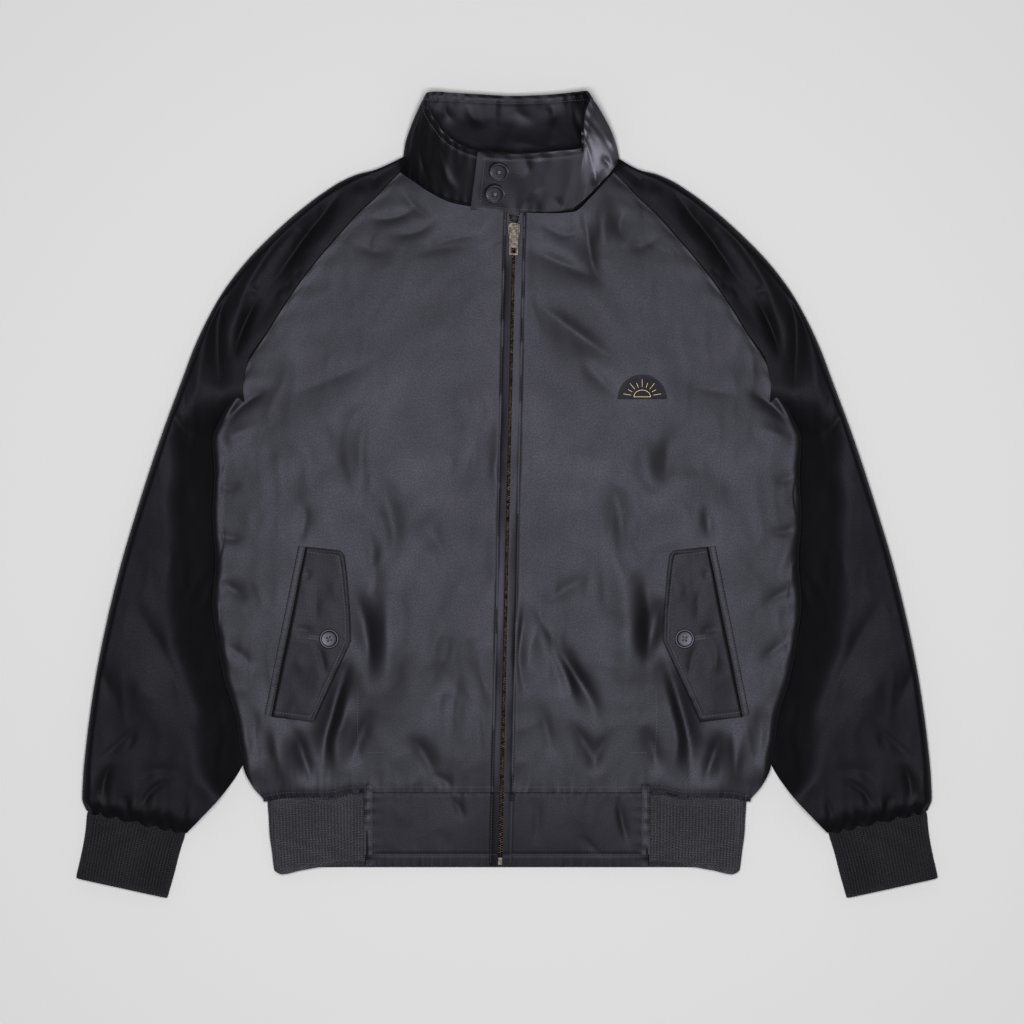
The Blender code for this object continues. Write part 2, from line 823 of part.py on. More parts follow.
def make_patch(front, material):
    """A half-moon on the wearer's left chest, with nothing on it."""
    points = []
    for n in range(7):
        angle = math.radians(84) * n / 6
        y = PATCH_CENTRE[1] + PATCH_RADIUS * math.sin(angle)
        half = PATCH_RADIUS * math.cos(angle)
        points.append([(PATCH_CENTRE[0] + half * (m / 3 - 1), y) for m in range(7)])
    return cloth("chest_patch", laid_on([front], points, PATCH), PATCH, material)


def make_button(name, face, x, y, material):
    """A four-hole button, turned from a profile, with a raised rim and a dished middle."""
    shape = bmesh.new()
    ring = [shape.verts.new((radius * MM, 0, z * MM)) for radius, z in BUTTON_PROFILE]
    edges = [shape.edges.new(pair) for pair in zip(ring, ring[1:])]
    bmesh.ops.spin(shape, geom=ring + edges, axis=(0, 0, 1), cent=(0, 0, 0), angle=math.tau, steps=24)
    bmesh.ops.remove_doubles(shape, verts=shape.verts, dist=1e-5)
    bmesh.ops.recalc_face_normals(shape, faces=shape.faces)
    mesh = bpy.data.meshes.new(name)
    shape.to_mesh(mesh)
    shape.free()
    button = add_object(name, mesh, material)
    point, normal = seat(face, x, y, BUTTON_PROFILE[4][0])
    turn = normal.to_track_quat("Z", "Y").to_matrix().to_4x4()
    drills = []
    for index in range(4):
        angle = math.radians(45 + 90 * index)
        hole_x, hole_y = BUTTON_HOLE_AT * math.cos(angle), BUTTON_HOLE_AT * math.sin(angle)
        corners = [math.tau * (k + 0.5) / 8 for k in range(8)]
        outline = [
            (hole_x + BUTTON_HOLE * math.cos(a), hole_y + BUTTON_HOLE * math.sin(a)) for a in corners
        ]
        drills.append(prism(f"{name}_hole_{index}", outline, -1, 4, material))
    place([button, *drills], Matrix.Translation(point * MM) @ turn)
    return combine(button, drills, "DIFFERENCE")


# --- Collar -------------------------------------------------------------------------------------


def collar_point(place_round, up):
    """A point on the collar's outer face, some way round its sections and up from its seam."""
    seam_x, seam_y, seam_z, top_x, top_y, top_z, out = along(COLLAR_SECTIONS, place_round)
    outwards = Vector((seam_x, seam_y - COLLAR_MIDDLE_Y, 0)).normalized()
    point = Vector((seam_x, seam_y, seam_z)).lerp(Vector((top_x, top_y, top_z)), up)
    return point + outwards * out * math.sin(math.pi * up)


def make_collar(material):
    rows = [
        [tuple(collar_point(n / COLLAR_STEPS, up)) for n in range(COLLAR_STEPS + 1)]
        for up in COLLAR_RISE
    ]
    return cloth("collar", rows, COLLAR, material, flip=True)


# --- Zip ----------------------------------------------------------------------------------------


def zip_level(faces, y):
    """The height of the cloth beside the zip."""
    beside = CHAIN_WIDTH / 2 + 2 * SEAM_GAP
    return min(heights(faces, zip_x(y) - beside, y) + heights(faces, zip_x(y) + beside, y))


def make_tape(name, side, faces, material):
    rows = []
    for y in TAPE_ROWS:
        inner = zip_x(y) + side * (CHAIN_WIDTH / 2 + SEAM_GAP)
        outer = inner + side * TAPE_WIDTH
        row = []
        for x in (inner, outer):
            low = min(heights(faces, x + 2 * side, y, 12))
            row.append((x, y, low - SHELL - TAPE_BELOW))
        rows.append(row)
    return cloth(name, rows, TAPE, material, flip=side < 0)


def make_chain(faces, material):
    half = CHAIN_WIDTH / 2
    rows = []
    for y in (HEM_EDGE_Y + 10, *TAPE_ROWS[1:]):
        x, z = zip_x(y), zip_level(faces, y) - 0.6
        low = z - CHAIN_THICK
        rows.append([(x - half, y, low), (x - half, y, z), (x + half, y, z), (x + half, y, low)])
    mesh = grid_mesh("zip_chain", rows, wrap=True)
    shape = bmesh.new()
    shape.from_mesh(mesh)
    bmesh.ops.holes_fill(shape, edges=shape.edges, sides=4)
    bmesh.ops.recalc_face_normals(shape, faces=shape.faces)
    shape.to_mesh(mesh)
    shape.free()
    return add_object("zip_chain", mesh, material, smooth=False)


def zip_frame(y, z):
    """A matrix that stands on the zip line, with its Y along it."""
    lean = math.atan2(ZIP_TOP[0] - ZIP_BOTTOM[0], ZIP_TOP[1] - ZIP_BOTTOM[1])
    return Matrix.Translation(Vector((zip_x(y), y, z)) * MM) @ Matrix.Rotation(-lean, 4, "Z")


def make_slider(matrix, material):
    """Upper and lower plate joined by the post between the two rows of teeth, and the bridge on top."""
    outline = [(-5.0, -9), (5.0, -9), (6.0, 0), (6.0, 7), (3.0, 9), (-3.0, 9), (-6.0, 7), (-6.0, 0)]
    upper = prism("zip_slider", outline, 0, 1.4, material, bevel=0.3)
    pieces = [
        prism("slider_lower", outline, -6.4, -5.0, material),
        prism("slider_post", rectangle(0, 5, 2.4, 5), -5.2, 0.2, material),
        prism("slider_leg_a", rectangle(0, 6, 3.6, 2.6), 1.2, 5.6, material),
        prism("slider_leg_b", rectangle(0, -5.4, 3.6, 2.2), 1.2, 5.6, material),
        prism("slider_bridge", rectangle(0, 0.4, 3.6, 13.8), 4.2, 5.8, material),
    ]
    place([upper, *pieces], matrix)
    return combine(upper, pieces, "UNION")


def make_pull(matrix, material):
    """A flat tag with a slot over the slider's bridge and a square window at its free end.

    Its origin is in the bar that lies under the bridge, on the axis that it swings about.
    """
    tag = prism("zip_pull", rectangle(0, -12.85, 9.4, 27.7), -0.7, 0.7, material, bevel=0.25)
    slot = prism("pull_slot", rectangle(0, -6.1, 5.2, 10.2), -2, 2, material)
    window = prism("pull_window", rectangle(0, -21.8, 5.8, 5.6), -2, 2, material)
    place([tag, slot, window], matrix)
    return combine(tag, [slot, window], "DIFFERENCE")


def make_zip_hardware(faces, material):
    slider_z = zip_level(faces, SLIDER_Y) + 1.2
    make_slider(zip_frame(SLIDER_Y, slider_z), material)
    make_pull(zip_frame(SLIDER_Y + 2.8, slider_z + 2.8), material)
    box_y = HEM_EDGE_Y + 5
    box = prism("zip_box", rectangle(0, 0, 4.8, 8), -3.2, 0, material, bevel=0.3)
    box.matrix_world = zip_frame(box_y, hem_band_z(box_y))


# --- The whole jacket ---------------------------------------------------------------------------


def main():
    clear_scene()
    look = make_materials()
    make_back(look["shell"])
    collar = outer_face(make_collar(look["shell"]))
    rib = outer_face(make_hem_rib(look["rib"]))
    fronts, bands = {}, {}
    for side, wearer in ((-1, "right"), (1, "left")):
        make_sleeve_front(f"sleeve_front_{wearer}", side, look["shell"])
        make_sleeve_back(f"sleeve_back_{wearer}", side, look["shell"])
        make_cuff(f"cuff_{wearer}", side, look["rib"])
        front = outer_face(make_front(f"front_{wearer}", side, look["shell"]))
        band = outer_face(make_hem_band(f"hem_band_{wearer}", side, look["shell"]))
        make_hem_tab(f"hem_tab_{wearer}", side, [front, band, rib], look["shell"])
        make_welt(f"pocket_welt_{wearer}", side, front, look["shell"])
        flap = outer_face(make_flap(f"pocket_flap_{wearer}", side, front, look["shell"]))
        button_x, button_y = FLAP_BUTTON
        make_button(f"pocket_button_{wearer}", flap, side * button_x, button_y, look["button"])
        make_tape(f"zip_tape_{wearer}", side, [front, band], look["tape"])
        fronts[side], bands[side] = front, band
    for name, (x, y) in zip(("upper", "lower"), COLLAR_BUTTONS):
        make_button(f"collar_button_{name}", collar, x, y, look["button"])
    make_patch(fronts[1], look["patch"])
    beside_zip = [*fronts.values(), *bands.values()]
    make_chain(beside_zip, look["brass"])
    make_zip_hardware(beside_zip, look["brass"])


main()
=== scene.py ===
import math

import bmesh
import bpy
import numpy as np
from mathutils import Matrix, Vector
from mathutils.bvhtree import BVHTree


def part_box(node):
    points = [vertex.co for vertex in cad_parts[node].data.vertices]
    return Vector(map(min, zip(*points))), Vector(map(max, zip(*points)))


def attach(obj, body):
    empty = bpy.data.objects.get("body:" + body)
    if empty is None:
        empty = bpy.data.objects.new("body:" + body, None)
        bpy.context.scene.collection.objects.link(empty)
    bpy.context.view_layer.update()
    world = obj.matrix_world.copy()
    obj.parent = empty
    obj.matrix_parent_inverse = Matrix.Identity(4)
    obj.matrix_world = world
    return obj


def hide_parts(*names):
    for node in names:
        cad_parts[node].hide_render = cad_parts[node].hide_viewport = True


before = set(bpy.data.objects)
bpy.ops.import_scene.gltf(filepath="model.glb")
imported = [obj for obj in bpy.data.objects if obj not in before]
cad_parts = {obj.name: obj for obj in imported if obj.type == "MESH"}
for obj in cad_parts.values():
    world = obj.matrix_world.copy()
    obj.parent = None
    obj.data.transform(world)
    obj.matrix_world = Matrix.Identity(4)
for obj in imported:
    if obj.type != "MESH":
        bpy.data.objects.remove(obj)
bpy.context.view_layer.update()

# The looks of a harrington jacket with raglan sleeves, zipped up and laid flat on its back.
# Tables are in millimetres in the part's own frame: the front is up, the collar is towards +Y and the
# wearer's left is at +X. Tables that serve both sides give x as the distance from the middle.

MM = 0.001
SIDES = ((-1, "right"), (1, "left"))

# Cloth and trim thicknesses
SHELL = 1.6
RIB = 2.4
COLLAR = 2.6
TAPE = 1.0
PATCH = 1.2
SEAM_GAP = 0.4  # between two pieces that are sewn edge to edge
LAY_GAP = 0.4  # between a piece and what it lies on

# --- Sizes of the cut pieces as they lie --------------------------------------------------------

HEM_SEAM_Y = -296.0
HEM_EDGE_Y = -370.0
NECK_POINT_Y = 282.0
ARMPIT_Y = 136.0
DOME_REACH = 110.0  # a front rises from its side to its middle over this width
ZIP_BOTTOM = (-7.0, HEM_EDGE_Y)
ZIP_TOP = (7.4, NECK_POINT_Y)
ZIP_END_Y = 281.0
ZIP_SHOWS = (2.2, 1.7)  # half of what shows of the zip, at the hem and at the chest
ZIP_TAPER = 330.0  # from the hem, it narrows from the one to the other over this length
ZIP_SUNK = 2.2  # the zip lies this far below the cloth beside it
TOOTH_PITCH = 2.35
TOOTH_SIZE = (3.3, 1.05, 2.3)
SLIDER_Y = 263.0
OPEN_FROM_Y = 264.0  # above this the two fronts part
OPEN_HALF = 5.5  # half of the opening at the neck
PLACKET = {-1: 9.5, 1: 10.5}  # from the zip's middle to the stitches that hold its tape
PLACKET_RISE = {-1: 2.6, 1: 1.0}  # how far the cloth stands up beside the teeth

RAGLAN = (
    # y, x, z
    (136, 257, 24),
    (163, 239, 26),
    (190, 222, 27),
    (216, 204, 27),
    (240, 185, 27),
    (262, 166, 26),
    (280, 150, 25),
    (297, 132, 24),
    (311, 119, 23),
    (323, 107, 22),
)
FRONT_SIDE = (
    # y, x, z, roll
    (-303, 243, 13, 3),
    (-290, 254, 13, 5),
    (-272, 263, 14, 8),
    (-250, 267, 15, 10),
    (-221, 271, 17, 9),
    (-180, 283, 19, 9),
    (-145, 289, 20, 9),
    (-107, 294, 20, 9),
    (-65, 291, 20, 9),
    (-20, 294, 20, 9),
    (20, 292, 20, 9),
    (55, 294, 20, 8.5),
    (82, 283, 19, 8),
    (108, 268, 21, 4),
)
FRONT_MIDDLE = (
    # y, z of the cloth away from its edges
    (-296, 18.5),
    (-270, 21.5),
    (-240, 24.8),
    (-200, 28.2),
    (-150, 30.6),
    (-90, 30.9),
    (0, 31.0),
    (200, 31.0),
    (282, 29.0),
    (323, 27.0),
)
BACK_SIDE = (
    # y, x, z, reach
    (-297, 240, 9, 4),
    (-290, 253, 9, 6),
    (-272, 262, 10, 10),
    (-250, 266, 12, 22),
    (-221, 270, 14, 34),
    (-180, 282, 15, 48),
    (-145, 288, 16, 56),
    (-107, 293, 16, 60),
    (-65, 290, 16, 60),
    (-20, 293, 16, 60),
    (20, 291, 16, 56),
    (50, 286, 15, 46),
    (64, 264, 9, 20),
    (72, 251, 4, 0),
    (84, 250, 0, 0),
    (108, 254, 0, 0),
)
BACK_NECK_Y = (297.0, 323.0)  # the back's neck edge is cut between these levels
BACK_NECK_RISE = 12.0
BODY_ROLL_Z = 8.0
SLEEVE_CLEAR = 2.2  # a sleeve stays this far below the body that lies over it
NECK_SEAM = {
    -1: ((0, NECK_POINT_Y), (36, 288), (56, 292), (77, 302), (93, 313), (107, 323)),
    1: ((0, NECK_POINT_Y), (38, 281.5), (61, 283), (80, 297), (94, 310), (107, 323)),
}

SLEEVE_HEAD = (
    # outer_x, outer_y, z_edge, crown
    (300, 176, 9, 25),
    (284, 204, 9, 25),
    (262, 233, 9, 25),
    (236, 260, 9, 25),
    (208, 285, 9, 25),
    (184, 303, 10, 24),
    (165, 315, 10, 24),
    (148, 322, 11, 23),
    (134, 325, 12, 22),
    (118, 331, 12, 20),
)
SLEEVE_NECK_END = {-1: (112, 334), 1: (121, 331)}
SLEEVE_UNDER_COLLAR = {
    -1: (101, 340, 101, 331, 12, 15, 16),
    1: (112, 337, 104, 331, 11, 13, 15),
}
SLEEVE = (
    # outer_x, outer_y, inner_x, inner_y, z_edge, crown, z_inner
    (313, 148, 263, 110, 9, 25, 12),
    (325, 116, 260, 78, 9, 25, 5),
    (340, 76, 254, 34, 9, 25, 4),
    (354, 36, 252, -6, 9, 25, 4),
    (370, -14, 250, -54, 9, 25, 4),
    (385, -64, 250, -102, 9, 25, 4),
    (400, -124, 250, -158, 9, 25, 4),
    (412, -184, 252, -214, 9, 25, 4),
    (420, -240, 262, -262, 9, 25, 4),
    (424, -280, 284, -298, 9, 24, 5),
    (425, -302, 305, -321, 9, 23, 8),
    (421, -314.5, 320, -336.5, 8, 15, 8),
)
SLEEVE_PUFF = 4.5  # how far the sleeve's filling lifts its crown
SLEEVE_FALL_WIDTH = 42.0  # beside the body the sleeve goes down over this width
SLEEVE_RISE = 0.05  # the slope from the outer fold up to the crown
SLEEVE_RISE_WIDTH = 34.0  # on the sleeve head, it goes up over this width
SLEEVE_SEAM_REACH = 34.0  # and down to the raglan seam over this one
SLEEVE_FREE_Y = 112.0  # below this it starts to lie free beside the body
SLEEVE_LOW = 5.0
SLEEVE_HEAD_ENDS = (10.4, 1.6)  # its head ends at this section, blended over so many sections
CUFF = (
    # outer_x, outer_y, inner_x, inner_y
    (419.4, -310.3, 320.4, -332.3),
    (424, -348, 331, -368),
    (431, -382, 340, -402),
)
CUFF_THICK = 13.0
CUFF_TUCK = 1.8  # the cuff's top goes in under the sleeve by this much
HEM_RIB = (
    # x, top_y, bottom_y
    (134, -295, -370),
    (150, -295, -369),
    (178, -300, -370),
    (205, -300, -374),
    (225, -301, -378),
    (240, -304, -374),
)
HEM_RIB_BACK = (-297.0, -372.0)
HEM_RIB_TOP_X = 240.0
HEM_RIB_BOTTOM_X = 233.0
HEM_RIB_FRONT_X = 142.0
RIB_HEM_THICK = 14.0
HEM_BAND_X = 141.0
HEM_LAP = 1.2  # the fronts reach over the top of the knitted hem by this much
HEM_TAB_X = (134.0, 142.5)
HEM_TAB_Y = (-288.0, -358.5)
HEM_STITCH_Y = -358.5
RIB_PITCH = 3.3  # from one knitted rib to the next
RIB_RELIEF = 0.8

COLLAR_SECTIONS = (
    # seam x, y, z, top x, y, z, out
    (14, 283.5, 24, 13, 338, 49, 0),
    (-14, 283.8, 24, -12, 338.5, 51, 0),
    (-38, 289, 23, -36, 343, 51, 0),
    (-60, 294.5, 22, -56, 354, 50, 1),
    (-80, 305, 20, -72, 373, 48.5, 2),
    (-95, 316, 16, -80, 392, 45, 4),
    (-105, 330, 9, -80, 400, 40, 5),
    (-88, 337, 2, -68, 402, 34, 3),
    (-62, 337.4, 1, -56, 401.5, 30, 1),
    (-30, 337.4, 1, -28, 400, 28, 1),
    (6, 337.4, 1, 6, 398.5, 27, 1),
    (40, 337.4, 1, 40, 399.5, 28, 1),
    (68, 337.4, 1, 64, 401.5, 31, 1),
    (94, 338, 2, 78, 402.5, 38, 4),
    (113, 335, 10, 83, 395, 50, 6),
    (108, 325.5, 19, 77, 376, 56, 7),
    (88, 304.5, 25, 76, 357, 58, 5),
    (64, 286, 27, 77, 345, 57, 0),
    (36, 282.4, 27, 44, 340.5, 55.5, 0),
    (8, 283.2, 28.5, 9, 338, 54.5, 0),
    (-36, 288, 30, -29, 340, 55.5, 0),
)
COLLAR_MIDDLE_Y = 345.0
COLLAR_STEP = 30.0  # its folds are drawn with the sections this far apart
COLLAR_RISE = 60.0  # its height
COLLAR_ROUND = 880.0  # its length along the folds' drawing, for seams near the tab's end
COLLAR_SUNK = 0.07  # it goes on below its seam by this share of its height

FLAP = (
    # sewn_x, sewn_y, free_x, free_y
    (200.5, -50.5, 165.5, -54.5),
    (202, -58, 161.5, -59.5),
    (206.5, -79, 159, -79),
    (214, -117, 156, -116),
    (220, -146, 155, -144),
    (224, -165, 164, -164),
    (235, -220, 192, -225),
)
WELT_WIDTH = 6.4
WELT = (
    # outer_x, outer_y, inner_x, inner_y
    (207.5, -50, 201.2, -50.5),
    (224.5, -134, 218.2, -135),
    (241.5, -218, 235.7, -220),
)
EDGE_STITCH = 5.0  # from a flap's or collar's edge to its stitches
STITCH_PITCH = 3.0
STITCH_SUNK = 0.05
PATCH_ARC = math.radians(84)
PATCH_STITCH_PITCH = 1.6
SUN_STITCH_PITCH = 1.15

# --- Folds --------------------------------------------------------------------------------------
# Each has a line in plan, its reach to the left and to the right of that line looking along it, with x
# as the distance from the middle, and its depth. Troughs are negative.

# Gathers along the seams: from one to the next, seed, how far they reach from the seam and their depth.
# Each side's seed is counted from the one given here.
GATHERS = {
    "front_over_rib": (6.4, 31, 11, 1.3),
    "front_at_hem": (15.0, 41, 14, 0.8),
    "front_side": (27.0, 51, 12, 0.9),
    "sleeve_at_cuff": (9.5, 82, 13, 1.6),
    "band_seam": (12.0, 62, 8, 0.6),
    "band_edge": (9.0, 63, 9, 0.55),
    "band_joint": (12.0, 64, 5, 0.35),
    "tab": (9.0, 65, 9, 0.2),
    "flap": (11.0, 103, 4, 0.35),
    "welt": (10.0, 107, 9, 0.16),
    "collar_edge": (15.0, 123, 8, 0.7),
    "collar_seam": (13.0, 124, 8, 0.5),
}
# The unevenness of each piece: seed and amount.
RUMPLES = {
    "front": (11, 1.0),
    "sleeve": (71, 0.8),
    "band": (61, 0.45),
    "flap": (101, 0.4),
    "collar": (121, 0.8),
}
FOLD_SPREAD = 1.2  # softens every fold by widening it
TROUGH_SHARPNESS = 1.4
RIDGE_SHARPNESS = 1.8
SLEEVE_SOFTNESS = 0.65

FRONT_FOLDS = {
    -1: (
        # at the armpit
        (((292, 68), (272, 84), (252, 99), (232, 108)), 10, 9, -4.0),
        (((290, 50), (268, 62), (246, 70)), 9, 8, 1.6),
        (((236, 98), (203, 106), (147, 129), (110, 144)), 12, 10, -1.4),
        (((262, 40), (230, 46), (200, 40)), 14, 12, -1.2),
        # round the neck
        (((16, 262), (54, 256), (92, 246)), 9, 8, -1.5),
        (((30, 250), (62, 247), (104, 238)), 12, 10, -1.3),
        (((146, 276), (116, 277), (98, 283), (88, 294)), 10, 9, -2.6),
        (((126, 262), (101, 261), (82, 267), (66, 280)), 10, 10, -2.4),
        (((110, 312), (94, 290), (72, 272)), 8, 8, -1.8),
        (((160, 250), (136, 246), (112, 238)), 9, 12, -1.8),
        # down the middle of the panel
        (((182, 80), (176, 44), (168, 6)), 20, 18, -2.2),
        (((152, 96), (147, 50), (147, 4), (144, -30)), 13, 13, 2.4),
        (((126, 28), (119, -8), (112, -40), (112, -72)), 16, 20, -4.0),
        (((94, -20), (78, -34), (64, -60)), 15, 13, 1.8),
        (((48, 98), (36, 60), (42, 20), (60, -14)), 20, 20, -2.0),
        (((202, -4), (202, -26), (204, -50)), 7, 8, -2.6),
        (((137, -20), (134, -56), (130, -92)), 12, 10, -2.6),
        # from the pocket down to the knitted hem
        (((156, -86), (146, -112), (138, -150), (140, -196)), 17, 17, -8.5),
        (((152, -142), (166, -190), (180, -240), (186, -292)), 16, 14, -10.0),
        (((134, -210), (146, -240), (158, -276)), 12, 12, -4.0),
        (((158, -176), (163, -214), (172, -246), (166, -282)), 7, 9, 4.0),
        (((214, -228), (204, -256), (192, -288)), 13, 12, -6.5),
        (((236, -222), (228, -254), (220, -290)), 9, 12, 3.0),
        (((246, -210), (252, -236), (246, -268)), 14, 14, -2.4),
        # the long ridge and what lies beside the zip
        (((94, -40), (112, -90), (120, -140), (118, -195), (98, -250)), 26, 24, 5.0),
        (((40, -120), (50, -180), (56, -240), (58, -276)), 20, 18, -3.0),
        (((28, -48), (50, -96), (72, -150), (86, -206)), 14, 14, 1.6),
        (((22, -170), (28, -215), (24, -268)), 14, 16, -2.0),
        (((100, -236), (84, -256), (70, -284)), 12, 12, -4.2),
        (((80, -275), (63, -284), (50, -292)), 6, 6, -1.8),
        # small nips along the side
        (((294, -36), (276, -42), (258, -40)), 7, 7, -2.0),
        (((292, -84), (274, -92), (256, -106)), 9, 9, -2.4),
        (((286, -146), (268, -156), (248, -172)), 9, 9, -2.2),
        (((294, 14), (278, 8), (262, 12)), 8, 8, -1.6),
    ),
    1: (
        # under the collar
        (((74, 288), (80, 262), (86, 228), (100, 204)), 9, 16, -4.6),
        (((100, 304), (96, 270), (98, 236)), 10, 8, 2.2),
        (((30, 274), (56, 260), (78, 268)), 10, 10, -2.2),
        (((14, 248), (54, 232), (92, 214)), 9, 16, -3.0),
        (((120, 290), (112, 270), (118, 250)), 9, 10, -2.0),
        (((156, 264), (138, 250), (116, 246)), 9, 10, -1.8),
        # the long diagonal trough across the chest
        (((16, 200), (48, 178), (86, 150), (122, 126)), 13, 28, -6.0),
        (((40, 244), (80, 202), (116, 164), (148, 134)), 22, 16, 1.6),
        (((70, 138), (96, 112), (112, 94)), 12, 14, -2.4),
        (((134, 62), (140, 30), (148, -6)), 13, 12, 2.4),
        (((158, 66), (160, 34), (156, 4)), 14, 12, -2.4),
        (((100, 26), (110, -8), (118, -60)), 16, 18, -4.2),
        (((76, 70), (72, 30), (76, -6)), 18, 16, 1.4),
        # at the armpit
        (((293, 68), (272, 84), (254, 98), (234, 108)), 10, 9, -4.0),
        (((290, 50), (266, 62), (244, 70)), 9, 8, 1.6),
        (((236, 98), (205, 106), (170, 112)), 10, 10, -1.6),
        (((198, -4), (200, -26), (204, -50)), 8, 7, -2.6),
        # the sharp diagonal that starts at the zip
        (((20, -104), (36, -134), (58, -166), (84, -204), (90, -246)), 12, 18, -8.0),
        (((24, -106), (44, -144), (62, -186), (70, -220)), 7, 8, 4.2),
        (((18, -96), (16, -124), (12, -165), (20, -206)), 9, 8, -3.6),
        (((30, -112), (56, -94), (88, -76)), 12, 12, -2.4),
        (((92, -20), (112, -80), (124, -124), (122, -176), (108, -238)), 24, 24, 5.0),
        (((136, -64), (140, -110), (136, -180)), 14, 14, -5.0),
        # from the pocket down to the knitted hem
        (((154, -96), (146, -130), (140, -170)), 16, 14, -7.5),
        (((152, -142), (168, -196), (182, -250), (182, -300)), 16, 14, -10.0),
        (((153, -170), (164, -208), (171, -245), (162, -280)), 8, 7, 4.0),
        (((136, -226), (146, -252), (152, -284)), 11, 11, -3.6),
        (((216, -232), (206, -258), (196, -288)), 13, 12, -6.5),
        (((236, -222), (230, -254), (222, -290)), 9, 12, 3.0),
        (((60, -222), (80, -250), (92, -280)), 10, 12, -4.0),
        (((104, -232), (92, -254), (84, -280)), 10, 10, -2.6),
        (((28, -196), (40, -235), (52, -272)), 12, 12, -2.6),
        (((246, -206), (254, -236), (246, -268)), 14, 14, -2.4),
        # small nips along the side
        (((294, -28), (276, -36), (258, -34)), 7, 7, -2.0),
        (((292, -92), (272, -98), (252, -112)), 9, 9, -2.4),
        (((286, -140), (268, -152), (250, -166)), 9, 9, -2.2),
        (((294, 24), (276, 16), (262, 20)), 8, 8, -1.6),
    ),
}
BAND_FOLDS = {
    -1: (
        (((60, -297), (48, -312), (40, -328)), 6, 7, -2.4),
        (((122, -300), (108, -318), (98, -334)), 10, 12, 1.0),
        (((70, -330), (62, -345), (60, -360)), 9, 9, -0.9),
    ),
    1: (
        (((29, -297), (31, -325), (26, -352)), 6, 8, -1.8),
        (((109, -294), (114, -322), (123, -356)), 7, 5, -3.6),
        (((70, -335), (84, -350), (98, -362)), 5, 5, -1.4),
        (((62, -300), (70, -318), (76, -334)), 12, 12, 0.9),
    ),
}
SLEEVE_FOLDS = (
    # the long trough and ridge of the sleeve head
    (((157, 316), (172, 296), (186, 278), (205, 254), (230, 217), (246, 197)), 8, 10, -8.5),
    (((243, 204), (256, 184), (267, 158), (272, 132)), 9, 8, -10),
    (((176, 305), (198, 284), (227, 257), (246, 231), (259, 209), (268, 182), (274, 145)), 8, 6, 4.5),
    (((259, 209), (252, 205), (246, 201)), 4, 3, 2.5),
    (((262, 243), (279, 207), (288, 176), (289, 144), (287, 112), (292, 82)), 13, 13, -10),
    (((287, 217), (298, 178), (304, 140), (311, 100), (318, 63)), 9, 9, 3.5),
    (((338, 90), (325, 70), (312, 56)), 6, 5, -3.5),
    (((214, 268), (203, 262), (198, 252)), 5, 5, 2.2),
    (((211, 226), (206, 220), (203, 214)), 5, 5, -2.6),
    (((221, 214), (215, 208), (212, 202)), 5, 5, -2.6),
    (((228, 205), (224, 198), (222, 192)), 4, 4, 1.8),
    (((154, 310), (146, 300), (138, 292)), 8, 8, 2.0),
    (((136, 322), (130, 312), (126, 304)), 6, 6, -2.0),
    # the lower sleeve
    (((388, -50), (359, -107), (316, -186)), 22, 20, 2.4),
    (((384, -88), (352, -137), (330, -184), (306, -247), (297, -270)), 15, 18, -5.0),
    (((402, -145), (374, -182), (344, -216), (316, -262)), 20, 20, 2.8),
    (((411, -160), (398, -190), (386, -212)), 10, 10, -2.2),
    (((360, -219), (393, -252), (417, -268)), 4, 7, -2.6),
    (((369, -234), (380, -256)), 5, 4, -1.8),
    # gathered into the cuff
    (((391, -262), (402, -284), (403, -312)), 6, 8, -5.5),
    (((416, -268), (414, -288), (411, -306)), 7, 7, 2.0),
    (((320, -276), (340, -273), (356, -276), (372, -290)), 9, 7, -2.6),
    (((327, -280), (349, -290), (363, -307), (366, -324)), 5, 4, -3.6),
    (((385, -296), (380, -308), (378, -322)), 4, 5, -3.4),
    (((372, -300), (374, -312), (372, -324)), 4, 4, 1.6),
    (((350, -310), (352, -320), (354, -330)), 4, 4, -3.0),
    (((336, -313), (340, -324), (343, -332)), 4, 4, -2.6),
    (((316, -300), (322, -314), (328, -330)), 5, 4, -2.2),
)
COLLAR_FOLDS = (
    # each place is a section, counted from the front, and a share of the way up to the edge
    (((8.6, 0.95), (8.8, 0.7), (9.3, 0.5)), 7, 7, -1.6),
    (((9.6, 0.9), (10.2, 0.72), (10.6, 0.55)), 8, 7, 1.6),
    (((10.9, 0.92), (11.2, 0.75), (11.0, 0.5)), 6, 6, -1.4),
    (((7.6, 0.9), (7.9, 0.7), (8.4, 0.6)), 6, 6, 1.4),
    (((12.0, 0.8), (12.3, 0.5), (12.8, 0.3)), 8, 8, -1.4),
    (((2.4, 0.2), (3.0, 0.4), (3.4, 0.7)), 6, 7, 1.3),
    (((3.8, 0.15), (4.4, 0.35), (4.6, 0.6)), 7, 8, -1.5),
    (((5.0, 0.2), (5.2, 0.5), (5.4, 0.8)), 8, 8, 1.2),
    (((15.2, 0.05), (15.3, 0.25), (15.6, 0.5)), 5, 5, -2.2),
    (((15.9, 0.04), (16.0, 0.2), (16.2, 0.45)), 5, 4, 2.0),
    (((14.4, 0.1), (14.6, 0.35), (14.9, 0.6)), 7, 6, 1.4),
    (((18.8, 0.99), (18.7, 0.82), (18.65, 0.62)), 4, 5, -1.6),
    (((18.35, 0.99), (18.3, 0.86)), 4, 4, -1.0),
    (((18.0, 0.45), (18.4, 0.3), (18.8, 0.12)), 3, 4, 0.9),
    (((17.3, 0.05), (17.6, 0.16), (17.7, 0.3)), 5, 5, -1.2),
)
